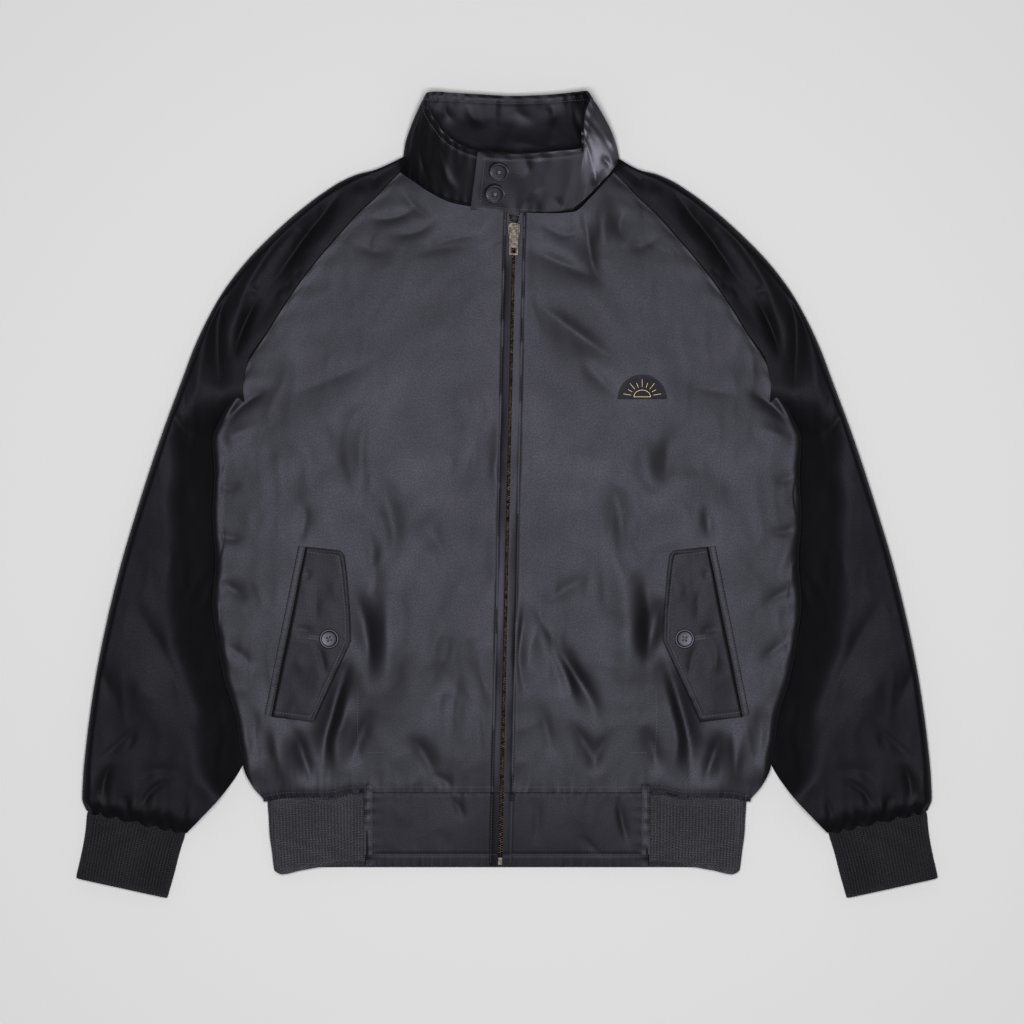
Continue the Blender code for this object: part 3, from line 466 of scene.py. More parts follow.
FLAP_FOLDS = (
    (((214, -131), (203, -133), (190, -137)), 5, 6, -1.5),
    (((193, -143), (186, -156), (182, -172), (179, -184)), 4, 5, -1.7),
    (((190, -88), (190, -108), (188, -128)), 7, 7, -1.2),
    (((172, -80), (170, -110)), 7, 8, 0.9),
    (((200, -72), (196, -84)), 5, 5, -0.9),
    (((212, -160), (200, -178)), 8, 8, 0.8),
)


# --- Curves and heights -------------------------------------------------------------------------


def between(low, high, share):
    return low + (high - low) * share


def ease(share):
    """A smooth step from 0 to 1."""
    share = np.clip(share, 0.0, 1.0)
    return share * share * (3 - 2 * share)


def bell(off, width):
    """1 where off is nothing, dying away to both sides of it."""
    return np.exp(-((off / width) ** 2))


def lengths_along(points):
    """How far along a line of points each of them lies."""
    steps = np.linalg.norm(np.diff(np.array(points, float), axis=0), axis=1)
    return np.concatenate([[0], np.cumsum(steps)])


def shares_grid(rows, columns):
    """Shares from 0 to 1 down and across a grid."""
    return np.meshgrid(np.linspace(0, 1, rows), np.linspace(0, 1, columns), indexing="ij")


def curve(rows, key, column=1):
    """A column of a table at some keys, on a smooth curve through the rows that doesn't overshoot."""
    rows = sorted(rows, key=lambda row: row[0])
    keys = np.array([row[0] for row in rows], float)
    values = np.array([row[column] for row in rows], float)
    slopes = np.diff(values) / np.diff(keys)
    before, after = slopes[:-1], slopes[1:]
    same_way = before * after > 0
    total = np.where(same_way, before + after, 1.0)
    inner = np.where(same_way, 2 * before * after / total, 0.0)
    tangents = np.concatenate([slopes[:1], inner, slopes[-1:]])
    key = np.clip(np.asarray(key, float), keys[0], keys[-1])
    i = np.clip(np.searchsorted(keys, key, side="right") - 1, 0, len(keys) - 2)
    step = keys[i + 1] - keys[i]
    t = (key - keys[i]) / step
    return (
        (1 + 2 * t) * (1 - t) ** 2 * values[i]
        + t * (1 - t) ** 2 * step * tangents[i]
        + t * t * (3 - 2 * t) * values[i + 1]
        + t * t * (t - 1) * step * tangents[i + 1]
    )


def along(rows, share):
    """Every column at a share of the way down a table, each step between two rows counting the same."""
    numbered = [(index, *row) for index, row in enumerate(rows)]
    place = np.asarray(share, float) * (len(rows) - 1)
    return [curve(numbered, place, column + 1) for column in range(len(rows[0]))]


def straight_along(rows, share):
    """As along(), with straight lines between the rows, each step as long as its sides are."""
    table = np.array(rows, float)
    keys = lengths_along(table)
    return [np.interp(share, keys / keys[-1], column) for column in table.T]


def smooth_line(points, steps=6):
    """Points on a smooth curve through a few points."""
    p = np.array([points[0], *points, points[-1]], float)
    line = []
    for a, b, c, d in zip(p, p[1:], p[2:], p[3:]):
        for t in np.arange(steps) / steps:
            cubic = (-a + 3 * b - 3 * c + d) * t**3
            line.append(0.5 * (2 * b + (c - a) * t + (2 * a - 5 * b + 4 * c - d) * t * t + cubic))
    line.append(p[-1])
    return np.array(line)


def folds(x, y, rows, end_fade=0.45):
    """The heights of soft troughs and ridges, which fade at their ends and sides.

    A trough is sharp along its bottom, and a ridge is round.
    """
    total = np.zeros(x.shape)
    for points, left, right, depth in rows:
        line = smooth_line(points)
        lengths = lengths_along(line)
        steps, places = np.diff(lengths), lengths / lengths[-1]
        margin = 2.4 * max(left, right)
        low, high = line.min(axis=0) - margin, line.max(axis=0) + margin
        inside = (x > low[0]) & (x < high[0]) & (y > low[1]) & (y < high[1])
        if not inside.any():
            continue
        px, py = x[inside], y[inside]
        nearest = np.full(px.shape, np.inf)
        turn = np.zeros(px.shape)
        place = np.zeros(px.shape)
        for n, step in enumerate(steps):
            start, run = line[n], line[n + 1] - line[n]
            t = np.clip(((px - start[0]) * run[0] + (py - start[1]) * run[1]) / step**2, 0, 1)
            off_x, off_y = px - start[0] - t * run[0], py - start[1] - t * run[1]
            distance = np.hypot(off_x, off_y)
            closer = distance < nearest
            nearest = np.where(closer, distance, nearest)
            turn = np.where(closer, run[0] * off_y - run[1] * off_x, turn)
            place = np.where(closer, between(places[n], places[n + 1], t), place)
        reach = FOLD_SPREAD * np.where(turn > 0, left, right)
        sharpness = TROUGH_SHARPNESS if depth < 0 else RIDGE_SHARPNESS
        profile = np.exp(-2 * (nearest / reach) ** sharpness)
        fade = ease(place / end_fade) * ease((1 - place) / end_fade)
        total[inside] += depth * profile * fade
    return total


def ripple(x, y, size, seed):
    """Soft uneven heights between about -1 and 1, in bumps of about this size."""
    grid = np.random.default_rng(seed).uniform(-1, 1, (128, 128))
    u, v = np.asarray(x) / size + 500, np.asarray(y) / size + 500
    i, j = np.floor(u).astype(int), np.floor(v).astype(int)
    du, dv = ease(u - i), ease(v - j)
    i, j = i % 127, j % 127
    low = between(grid[i, j], grid[i + 1, j], du)
    high = between(grid[i, j + 1], grid[i + 1, j + 1], du)
    return between(low, high, dv)


def rumple(x, y, name, side=0):
    """The small unevenness of worn cotton cloth, in millimetres."""
    seed, amount = RUMPLES[name]
    seed += side
    drift_x, drift_y = 9 * ripple(x, y, 40, seed + 4), 9 * ripple(y, x, 44, seed + 5)
    u, v = x + drift_x, 0.55 * (y + drift_y)
    broad = 2.0 * ripple(0.8 * x + 0.6 * y, 0.5 * y - 0.4 * x, 62, seed + 7)
    wide = 0.95 * ripple(u, v, 36, seed) + broad
    middle = 0.42 * (1 - 2 * np.abs(ripple(u, v, 17, seed + 1)))
    small = 0.13 * ripple(x, 0.7 * y, 8, seed + 3)
    fine = 0.04 * ripple(x, y, 3.5, seed + 2)
    return amount * (wide + middle + small + fine)


def puckers(place, away, name, side=0):
    """Small gathers along a seam: place is along it and away is the distance from it."""
    pitch, seed, reach, depth = GATHERS[name]
    seed += side
    phase = 2.2 * ripple(place, 0 * place, 3 * pitch, seed)
    strength = 0.6 + 0.4 * ripple(place, 0 * place, 2 * pitch, seed + 9)
    return depth * strength * np.sin(2 * np.pi * place / pitch + phase) * np.exp(-away / reach)


def zip_x(y):
    """The zip's middle, which leans a little."""
    share = (np.asarray(y, float) - ZIP_BOTTOM[1]) / (ZIP_TOP[1] - ZIP_BOTTOM[1])
    return between(ZIP_BOTTOM[0], ZIP_TOP[0], share)


def zip_edge(side, y):
    """A front's edge beside the zip. Above the slider the two fronts part."""
    parted = ease((y - OPEN_FROM_Y) / (NECK_POINT_Y - OPEN_FROM_Y))
    closed = between(ZIP_SHOWS[0], ZIP_SHOWS[1], ease((y - HEM_EDGE_Y) / ZIP_TAPER))
    return zip_x(y) + side * between(closed, OPEN_HALF, parted)


def front_edge(y):
    """The fronts' half width, with the cloth's level there and the roll of its side fold."""
    rows = (*FRONT_SIDE, *((row_y, x, z, 0.0) for row_y, x, z in RAGLAN))
    return [curve(rows, y, column) for column in (1, 2, 3)]


def placket(side, off, y):
    """The strip beside the zip slopes away from it to a stitched groove."""
    width = PLACKET[side]
    below_slider = ease((SLIDER_Y - 14 - y) / 30)
    slope = PLACKET_RISE[side] * below_slider * np.clip(1 - off / width, 0, 1)
    groove = -0.7 * bell(off - width, 1.3)
    beyond = 0.5 * bell(np.clip(off - width - 1.5, 0, None), 7) * (off > width)
    return slope + groove + beyond


def front_height(side, x, y, folded=True):
    """The height of a front's upper face, x being the distance from the middle on its own side."""
    edge, z, roll = front_edge(y)
    inwards = np.maximum(edge - x, 0.0)
    safe_roll = np.maximum(roll, 0.01)
    rolled = z + roll * np.sqrt(1 - (1 - np.minimum(inwards / safe_roll, 1.0)) ** 2)
    middle = curve(FRONT_MIDDLE, y, 1)
    height = rolled + (middle - z - roll) * (1 - (1 - np.minimum(inwards / DOME_REACH, 1.0)) ** 2)
    off = np.abs(side * x - zip_x(y))
    height = height + placket(side, off, y)
    if not folded:
        return height
    soft_edge = ease(inwards / 12) * ease((off - 2) / 9)
    smoother_chest = 1.0 - 0.4 * ease((y - 40) / 90)
    relief = folds(x, y, FRONT_FOLDS[side]) + rumple(x, y, "front", side) * smoother_chest
    above_seam = y - HEM_SEAM_Y
    near_rib = ease((x - 128) / 14)
    gathers = puckers(x, above_seam, "front_over_rib", side) * near_rib
    gathers = gathers + puckers(x, above_seam, "front_at_hem", side)
    tucked = -1.5 * near_rib * bell(above_seam, 5.0)
    side_puckers = puckers(y, inwards, "front_side", side)
    return height + soft_edge * (relief + gathers + tucked) + side_puckers * ease(inwards / 5)


def back_edge(y):
    """The back's half width, with its level there and how far in it lies on the sleeve."""
    rows = (*BACK_SIDE, *((row_y, x, 0.0, 0.0) for row_y, x, z in RAGLAN))
    return [curve(rows, y, column) for column in (1, 2, 3)]


def back_height(x, y):
    """The height of the back's lower face: on the floor, or over the sleeve near the side."""
    edge, z, reach = back_edge(y)
    inwards = np.maximum(edge - np.abs(x), 0.0)
    over_sleeve = between(z, np.minimum(BODY_ROLL_Z, z), ease(inwards / 14))
    return np.where(z > 0, over_sleeve * (1 - ease((inwards - reach) / 18)), 0.0)


# --- Making cloth -------------------------------------------------------------------------------


def show_only_selected(obj):
    bpy.ops.object.select_all(action="DESELECT")
    obj.select_set(True)
    bpy.context.view_layer.objects.active = obj


def apply_modifiers(obj):
    show_only_selected(obj)
    for modifier in list(obj.modifiers):
        bpy.ops.object.modifier_apply(modifier=modifier.name)


def face_normals(points, cell):
    """The mean of the faces' normals over a grid of points."""
    along_row = points[:-1, 1:] - points[:-1, :-1]
    along_column = points[1:, :-1] - points[:-1, :-1]
    normals = np.cross(along_row, along_column)
    return (normals * cell).sum()


UPWARDS, DOWNWARDS = (0, 0, 1), (0, 0, -1)


def cloth(name, points, thickness, material, facing=UPWARDS, wrap=False, sharp=50):
    """A wall of cloth whose outer face goes through a grid of points.

    facing is the way that the outer face looks, or "out" for a tube round its own middle.
    """
    points = np.asarray(points, float)
    rows, columns = points.shape[:2]
    if isinstance(facing, str):
        middle = points.mean(axis=1, keepdims=True)
        cell = (points - middle)[:-1, :-1]
    else:
        cell = np.array(facing, float)
    turned = face_normals(points, cell) < 0
    index = np.arange(rows * columns).reshape(rows, columns)
    here = index if wrap else index[:, :-1]
    beside = np.roll(index, -1, axis=1) if wrap else index[:, 1:]
    quads = np.stack([here[:-1], beside[:-1], beside[1:], here[1:]], axis=-1).reshape(-1, 4)
    closed = np.concatenate([points, points[:, :1]], axis=1) if wrap else points
    across = np.linalg.norm(np.diff(closed, axis=1), axis=2).cumsum(axis=1)
    across = np.concatenate([np.zeros((rows, 1)), across], axis=1)
    across -= across[:, -1:] / 2
    down = np.linalg.norm(np.diff(closed, axis=0), axis=2).cumsum(axis=0)
    down = np.concatenate([np.zeros((1, closed.shape[1])), down], axis=0)
    flat = np.stack([across, down], axis=-1) * MM
    corners = np.stack([flat[:-1, :-1], flat[:-1, 1:], flat[1:, 1:], flat[1:, :-1]], axis=2)
    corners = corners.reshape(-1, 4, 2)
    if turned:
        quads, corners = quads[:, ::-1], corners[:, ::-1]
    mesh = bpy.data.meshes.new(name)
    mesh.from_pydata((points.reshape(-1, 3) * MM).tolist(), [], quads.tolist())
    layer = mesh.uv_layers.new(name="cut")
    layer.data.foreach_set("uv", corners.reshape(-1).astype(np.float32))
    mesh.materials.append(material)
    obj = bpy.data.objects.new(name, mesh)
    bpy.context.scene.collection.objects.link(obj)
    wall = obj.modifiers.new("wall", "SOLIDIFY")
    wall.thickness = thickness * MM
    wall.offset = -1
    apply_modifiers(obj)
    obj.data.shade_smooth()
    obj.data.set_sharp_from_angle(angle=math.radians(sharp))
    return obj


def cut_piece(node, kind, points, thickness, material, rests_on, held="laid", slot="shell", **shape):
    """Makes a piece of cloth for a node, with what it moves with and the size that it was cut to."""
    piece = cloth(f"{node}_{kind}", points, thickness, material, **shape)
    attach(piece, "jacket")
    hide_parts(node)
    return piece


def tree_of(obj):
    """A piece's faces, for finding the points that others lie on."""
    points = [vertex.co for vertex in obj.data.vertices]
    return BVHTree.FromPolygons(points, [tuple(face.vertices) for face in obj.data.polygons])


def top_of(trees, x, y):
    """The highest point of some pieces at a place in plan, with its normal, or nothing."""
    best = None
    above = Vector((x, y, 200)) * MM
    for tree in trees:
        spot, normal, _, _ = tree.ray_cast(above, Vector((0, 0, -1)))
        if spot and (best is None or spot.z > best[0].z):
            best = (spot, normal)
    return best


def mirrored(points, side):
    """Turns points drawn for the wearer's left over to a side."""
    points = np.array(points, float)
    points[..., 0] *= side
    return points


def smoothed(values, times=1):
    """A running mean along the first axis that keeps the ends."""
    values = np.array(values, float)
    for _ in range(times):
        values[1:-1] = (values[:-2] + 2 * values[1:-1] + values[2:]) / 4
    return values


# --- Body ---------------------------------------------------------------------------------------


def yoke_points(side, across, up):
    """Places in plan on a front above the armpit, between the zip, the raglan and the neck seams."""
    zip_y = between(ARMPIT_Y, NECK_POINT_Y, up)
    zip_side = np.stack([side * zip_edge(side, zip_y), zip_y], axis=-1)
    seam_x, seam_y = along([(x, y) for y, x, z in RAGLAN], up)
    seam_side = np.stack([seam_x - SEAM_GAP, seam_y], axis=-1)
    start, end = side * zip_edge(side, np.float64(ARMPIT_Y)), RAGLAN[0][1] - SEAM_GAP
    opening, corner = side * zip_edge(side, np.float64(NECK_POINT_Y)), RAGLAN[-1][1] - SEAM_GAP
    neck_x, neck_y = along(NECK_SEAM[side], across)
    top = np.stack([between(opening, corner, neck_x / NECK_SEAM[side][-1][0]), neck_y], axis=-1)
    bottom = np.stack([between(start, end, across), np.full(across.shape, ARMPIT_Y)], axis=-1)
    across, up = across[..., None], up[..., None]
    corners = (
        np.array((start, ARMPIT_Y)) * (1 - across) * (1 - up)
        + np.array((end, ARMPIT_Y)) * across * (1 - up)
        + np.array((opening, NECK_POINT_Y)) * (1 - across) * up
        + np.array((corner, RAGLAN[-1][0])) * across * up
    )
    return zip_side * (1 - across) + seam_side * across + bottom * (1 - up) + top * up - corners


def hem_seam_shift(x):
    """How far the seam over the knitted hem lies above or below the one over the cloth band."""
    shift = curve(HEM_RIB, x, 1) - HEM_LAP - HEM_SEAM_Y
    return np.where(x < HEM_BAND_X, 0.0, shift)


def make_front(side, wearer, material):
    columns, rows_below, rows_above = 140, 170, 78
    shares = 0.5 - 0.5 * np.cos(np.linspace(0, math.pi, columns))
    y = np.linspace(HEM_SEAM_Y, ARMPIT_Y, rows_below, endpoint=False)[:, None]
    near_hem = 1 - ease((y - HEM_SEAM_Y) / 60)
    outer_y = y + hem_seam_shift(front_edge(y)[0]) * near_hem
    outer = front_edge(outer_y)[0] - SEAM_GAP / 2
    x = between(side * zip_edge(side, y), outer, shares[None, :])
    y = np.broadcast_to(y, x.shape)
    z = front_height(side, x, y)
    below = np.stack([x, y + hem_seam_shift(x) * near_hem, z], axis=-1)
    across, up = np.meshgrid(shares, np.linspace(0, 1, rows_above))
    spots = yoke_points(side, across, up)
    z = front_height(side, spots[..., 0], spots[..., 1])
    above = np.concatenate([spots, z[..., None]], axis=-1)
    points = mirrored(np.concatenate([below, above]), side)
    lies_on = ["back_cloth", f"sleeve_front_{wearer}_cloth"]
    return cut_piece(f"front_{wearer}", "cloth", points, SHELL, material, lies_on)


def make_back(material):
    below, beside_armpit = np.linspace(HEM_SEAM_Y, 44, 76), np.linspace(46, 96, 26)
    ys = np.concatenate([below, beside_armpit, np.linspace(100, BACK_NECK_Y[1], 50)])
    shares = np.linspace(-1, 1, 121)
    y = ys[:, None]
    half = back_edge(y)[0] - SEAM_GAP
    rise = BACK_NECK_RISE * ease((y - BACK_NECK_Y[0]) / (BACK_NECK_Y[1] - BACK_NECK_Y[0]))
    x = half * np.sign(shares) * (1 - (1 - np.abs(shares)) ** 1.3)
    wide, narrow = ripple(x, y, size=40, seed=5), ripple(x, 0.6 * y, size=17, seed=6)
    lift = np.maximum(0.9 * wide + 0.5 * narrow, 0)
    inner = ease((half - np.abs(x)) / 30)
    z = back_height(x, np.broadcast_to(y, x.shape)) + lift * inner
    points = np.stack([x, y + rise * (1 - shares**2), z], axis=-1)
    lies_on = ["sleeve_front_left_cloth", "sleeve_front_right_cloth"]
    return cut_piece("back", "cloth", points, SHELL, material, lies_on, facing=DOWNWARDS)


# --- Sleeves and cuffs --------------------------------------------------------------------------


def sleeve_sections(side):
    """Every section from the neck to the cuff, in the columns of the sleeve table."""
    head = []
    for (seam_y, seam_x, seam_z), section in zip(RAGLAN, SLEEVE_HEAD):
        outer_x, outer_y, z_edge, crown = section
        if section is SLEEVE_HEAD[-1]:
            outer_x, outer_y = SLEEVE_NECK_END[side]
        head.append((outer_x, outer_y, seam_x + 2 * SEAM_GAP, seam_y, z_edge, crown, seam_z))
    head.append(SLEEVE_UNDER_COLLAR[side])
    return head[::-1] + list(SLEEVE)


def sleeve_share(rows):
    """Shares of the way down the sections, spaced so that the rows lie evenly on the sleeve."""
    sections = np.array(sleeve_sections(1))
    keys = lengths_along((sections[:, 0:2] + sections[:, 2:4]) / 2)
    return np.interp(np.linspace(0, 1, rows), keys / keys[-1], np.linspace(0, 1, len(sections)))


def under_body(x, y):
    """The most that a sleeve may rise at a place, so that the body lies over it."""
    edge, z, reach = back_edge(y)
    inside = back_height(x, y) - SLEEVE_CLEAR
    outside = z - SLEEVE_CLEAR + 0.8 * (x - edge)
    limit = np.where(x < edge, inside, outside)
    return np.where(z > 0.5, limit, np.inf)


def softer_minimum(a, b, reach):
    """The lower of two heights, rounded where they cross."""
    mix = np.clip(0.5 + 0.5 * (b - a) / reach, 0, 1)
    return between(b, a, mix) - reach * mix * (1 - mix)


def sleeve_height(x, y, distance, width, z_edge, crown, z_inner, headward):
    """The height of a sleeve's upper face at some distance from its outer fold."""
    puffed = crown + SLEEVE_PUFF * ease((width - 40) / 40)
    low = np.maximum(z_inner, SLEEVE_LOW)
    from_body = x - front_edge(y)[0] + 3 * ripple(y, 0 * y, size=30, seed=77)
    below_armpit = ease((SLEEVE_FREE_Y - y) / 60)
    crest = puffed - SLEEVE_RISE * np.maximum(from_body - SLEEVE_FALL_WIDTH, 0) * below_armpit
    crest = crest - SLEEVE_RISE * np.maximum(SLEEVE_RISE_WIDTH - distance, 0) * (1 - below_armpit)
    turn = np.minimum(distance / np.minimum(8.0, 0.2 * width), 1.0)
    z = z_edge + (crest - z_edge) * np.sqrt(1 - (1 - turn) ** 2)
    slope = (puffed - low) / SLEEVE_FALL_WIDTH
    fall = low + slope * np.maximum(from_body, -8)
    z = between(z, softer_minimum(z, fall, 5.0), below_armpit)
    towards_seam = ease(1 - (width - distance) / SLEEVE_SEAM_REACH) * headward
    z = between(z, z_inner, towards_seam)
    end_fade = ease(distance / 9) * np.where(headward > 0.5, ease((width - distance) / 14), 1.0)
    relief = SLEEVE_SOFTNESS * folds(x, y, SLEEVE_FOLDS) + rumple(x, y, "sleeve")
    z = z + relief * end_fade
    return np.maximum(np.minimum(z, under_body(x, y)), 2 * SHELL + SEAM_GAP)


def cuff_gathers(across, to_cuff, width):
    """How far the cloth sags over the cuff, and how its gathers rise and fall, close to the cuff."""
    place = across * width
    uneven = 0.9 * ripple(place, 0 * place, size=20, seed=81)
    lobes = np.abs(np.sin(np.pi * place / 17 + uneven))
    fade = ease(across / 0.06) * ease((1 - across) / 0.06)
    sag = 4.5 * (lobes**0.7 - 0.45) * np.exp(-to_cuff / 7) * fade
    rise = puckers(place, to_cuff, "sleeve_at_cuff")
    return sag, rise


def make_sleeve_front(side, wearer, material):
    rows, columns = 268, 66
    share = sleeve_share(rows)[:, None]
    across = np.linspace(0, 1, columns)[None, :] ** 1.35
    outer_x, outer_y, inner_x, inner_y, z_edge, crown, z_inner = along(sleeve_sections(side), share)
    width = np.hypot(inner_x - outer_x, inner_y - outer_y)
    x = between(outer_x, inner_x, across)
    y = between(outer_y, inner_y, across)
    head_end, blend = SLEEVE_HEAD_ENDS
    headward = ease((head_end - share * (len(sleeve_sections(side)) - 1)) / blend) + 0 * across
    z = sleeve_height(x, y, across * width, width, z_edge, crown, z_inner, headward)
    middle = np.stack([(outer_x + inner_x) / 2, (outer_y + inner_y) / 2], axis=-1)
    steps = np.linalg.norm(np.diff(middle[:, 0], axis=0), axis=1)
    to_cuff = np.concatenate([steps[::-1].cumsum()[::-1], [0]])[:, None]
    sag, rise = cuff_gathers(across + 0 * share, to_cuff + 0 * across, width)
    z = z + rise * ease(across / 0.08) * ease((1 - across) / 0.1) * ease(to_cuff / 3)
    points = np.stack([x + 0.2 * sag, y - sag, z], axis=-1)
    lies_on = [f"sleeve_back_{wearer}_cloth"]
    node = f"sleeve_front_{wearer}"
    return cut_piece(node, "cloth", mirrored(points, side), SHELL, material, lies_on)


def make_sleeve_back(side, wearer, material):
    """The sleeve's under half, flat on the floor and rolled up to the outer fold."""
    rows, columns = 130, 34
    share = sleeve_share(rows)[:, None]
    across = np.linspace(0, 1, columns)[None, :] ** 1.7
    outer_x, outer_y, inner_x, inner_y, z_edge, _, _ = along(sleeve_sections(side), share)
    width = np.hypot(inner_x - outer_x, inner_y - outer_y)
    roll = np.minimum(10.0, 0.7 * width)
    inwards = np.minimum(across * width / roll, 1.0)
    z = (z_edge - SHELL - SEAM_GAP) * (1 - np.sqrt(1 - (1 - inwards) ** 2))
    x, y = between(outer_x, inner_x, across), between(outer_y, inner_y, across)
    lift = np.maximum(0.5 * ripple(x, y, size=33, seed=91), 0) * ease((inwards - 0.9) / 0.1)
    z = z + lift * ease((1 - across) / 0.1)
    points = mirrored(np.stack([x, y, z], axis=-1), side)
    return cut_piece(f"sleeve_back_{wearer}", "cloth", points, SHELL, material, (), facing=DOWNWARDS)


def knit_relief(place):
    """The ribs of a knitted strip, at some distances along it."""
    wave = np.abs(np.cos(np.pi * place / RIB_PITCH))
    return RIB_RELIEF * (wave**0.8 - 0.75)


def tube_spots(width, thick, count):
    """A flattened tube's outline: places across it, heights and outward directions."""
    radius = thick / 2
    flat = width - thick
    total = 2 * flat + math.pi * thick
    bend = math.pi * radius
    place = np.zeros((count, 4))
    for n, s in enumerate(np.arange(count) / count * total):
        if s < flat:
            place[n] = (radius + s, thick, 0, 1)
        elif flat + bend <= s < 2 * flat + bend:
            place[n] = (width - radius - (s - flat - bend), 0, 0, -1)
        else:
            far_end = s < flat + bend
            middle = width - radius if far_end else radius
            angle = math.pi / 2 - (s - flat) / radius
            if not far_end:
                angle = -math.pi / 2 - (s - 2 * flat - bend) / radius
            out_x, out_z = math.cos(angle), math.sin(angle)
            place[n] = (middle + radius * out_x, radius + radius * out_z, out_x, out_z)
    return place


def make_cuff(side, wearer, material):
    rows, ribs, per_rib = 22, 66, 6
    points = []
    for down in np.linspace(0, 1, rows):
        outer_x, outer_y, inner_x, inner_y = (float(value) for value in along(CUFF, down))
        outer, inner = np.array((outer_x, outer_y)), np.array((inner_x, inner_y))
        width = np.linalg.norm(inner - outer)
        direction = (inner - outer) / width
        thick = CUFF_THICK - 1.6 * math.sin(math.pi * down) + 0.2
        place = tube_spots(width, thick, ribs * per_rib)
        phase = np.arange(ribs * per_rib) / per_rib * RIB_PITCH
        relief = knit_relief(phase) * ease(down / 0.05) * ease((1 - down) / 0.04)
        relief = relief - CUFF_TUCK * (1 - ease((down - 0.05) / 0.06))
        relief = relief + 0.5 * ripple(place[:, 0], 70 * down + 0 * place[:, 0], size=22, seed=95)
        relief = relief * np.where(place[:, 3] < -0.2, 0.0, 1.0)
        spread = place[:, 0] + relief * place[:, 2]
        z = np.maximum(place[:, 1] + relief * place[:, 3], 0)
        flat = outer + spread[:, None] * direction
        points.append(np.column_stack([flat, z]))
    tube = {"slot": "rib", "facing": "out", "wrap": True, "sharp": 80}
    return cut_piece(f"cuff_{wearer}", "knit", mirrored(points, side), RIB, material, (), **tube)


# --- Hem ----------------------------------------------------------------------------------------


def hem_rib_spots(down, count):
    """Half of the knitted hem from its front end, round the side, to the middle of the back."""
    radius = RIB_HEM_THICK / 2
    side_x = between(HEM_RIB_TOP_X, HEM_RIB_BOTTOM_X, down)
    front = side_x - radius - HEM_RIB_FRONT_X
    bend = math.pi * radius
    total = front + bend + side_x - radius
    s = np.linspace(0, 1, count) * total
    angle = np.pi / 2 - np.clip((s - front) / radius, 0, np.pi)
    x = np.where(s < front, HEM_RIB_FRONT_X + s, side_x - radius + radius * np.cos(angle))
    x = np.where(s > front + bend, side_x - radius - (s - front - bend), x)
    z = radius + radius * np.sin(angle)
    on_front = np.clip(1 - (s - front) / bend, 0, 1)
    return x, z, on_front, np.cos(angle) * (s >= front), np.sin(angle)


def make_hem_rib(material):
    """One knitted strip: on the front beside the band, round both sides and across the back."""
    rows, ribs, per_rib = 20, 106, 6
    count = ribs * per_rib + 1
    points = []
    for down in np.linspace(0, 1, rows):
        x, z, on_front, out_x, out_z = hem_rib_spots(down, count)
        phase = np.arange(count) / per_rib * RIB_PITCH
        relief = knit_relief(phase) * ease(down / 0.05) * ease((1 - down) / 0.05)
        bulge = 1.5 * math.sin(math.pi * down) * on_front
        relief = relief + bulge + 0.9 * ripple(x, 75 * down + 0 * x, size=19, seed=97) * on_front
        relief = relief - CUFF_TUCK * (1 - ease((down - 0.03) / 0.05)) * on_front
        relief = np.where(out_z < -0.2, 0.0, relief)
        front_y = between(curve(HEM_RIB, x, 1), curve(HEM_RIB, x, 2), down)
        back_y = between(HEM_RIB_BACK[0], HEM_RIB_BACK[1], down)
        y = between(back_y, front_y, on_front)
        half = np.column_stack([x + relief * out_x, y, np.maximum(z + relief * out_z, 0)])
        points.append(np.concatenate([half * (-1, 1, 1), half[-2::-1]]))
    return cut_piece("hem_rib", "knit", points, RIB, material, (), slot="rib", facing="out", sharp=80)


def band_height(side, x, y, folded=True):
    """The band runs on from the front panel and dips a little towards its lower edge."""
    down = (HEM_SEAM_Y - y) / (HEM_SEAM_Y - HEM_EDGE_Y)
    z = 18.0 + 1.2 * np.sin(np.pi * down) - 7.0 * down
    off = np.abs(side * x - zip_x(y))
    z = z + placket(side, off, y)
    if not folded:
        return z
    from_seam, from_edge = HEM_SEAM_Y - y, y - HEM_EDGE_Y
    stitched = bell(y - HEM_STITCH_Y, 1.4)
    relief = 0.7 * folds(x, y, BAND_FOLDS[side]) + rumple(x, y, "band", side)
    relief = relief + puckers(x, from_seam, "band_seam", side)
    relief = relief + puckers(x, from_edge, "band_edge", side)
    relief = relief + puckers(y, HEM_TAB_X[0] - x, "band_joint", side)
    keep = ease((off - 2) / 9)
    return z + relief * keep - 0.7 * stitched - 0.8 * bell(from_seam, 2.0)


def make_hem_band(side, wearer, material):
    y = np.linspace(HEM_EDGE_Y, HEM_SEAM_Y - SEAM_GAP, 40)[:, None]
    shares = np.linspace(0, 1, 74)[None, :]
    x = between(side * zip_edge(side, y), HEM_BAND_X, shares)
    y = np.broadcast_to(y, x.shape)
    points = mirrored(np.stack([x, y, band_height(side, x, y)], axis=-1), side)
    return cut_piece(f"hem_band_{wearer}", "cloth", points, SHELL, material, ["hem_rib_knit"])


def laid_grid(trees, plan, thickness, reach, smooth):
    """Raises a grid of places in plan so that a piece of this thickness lies just over some pieces."""
    heights = np.zeros(plan.shape[:2])
    for i in range(plan.shape[0]):
        for j in range(plan.shape[1]):
            x, y = plan[i, j]
            found = []
            for step_x, step_y in ((0, 0), (reach, 0), (-reach, 0), (0, reach), (0, -reach)):
                hit = top_of(trees, x + step_x, y + step_y)
                if hit:
                    found.append(hit[0].z / MM)
            heights[i, j] = max(found)
    soft = smoothed(smoothed(heights, smooth).T, smooth).T
    heights = np.maximum(heights, soft) + LAY_GAP + thickness
    return np.concatenate([plan, heights[..., None]], axis=-1)


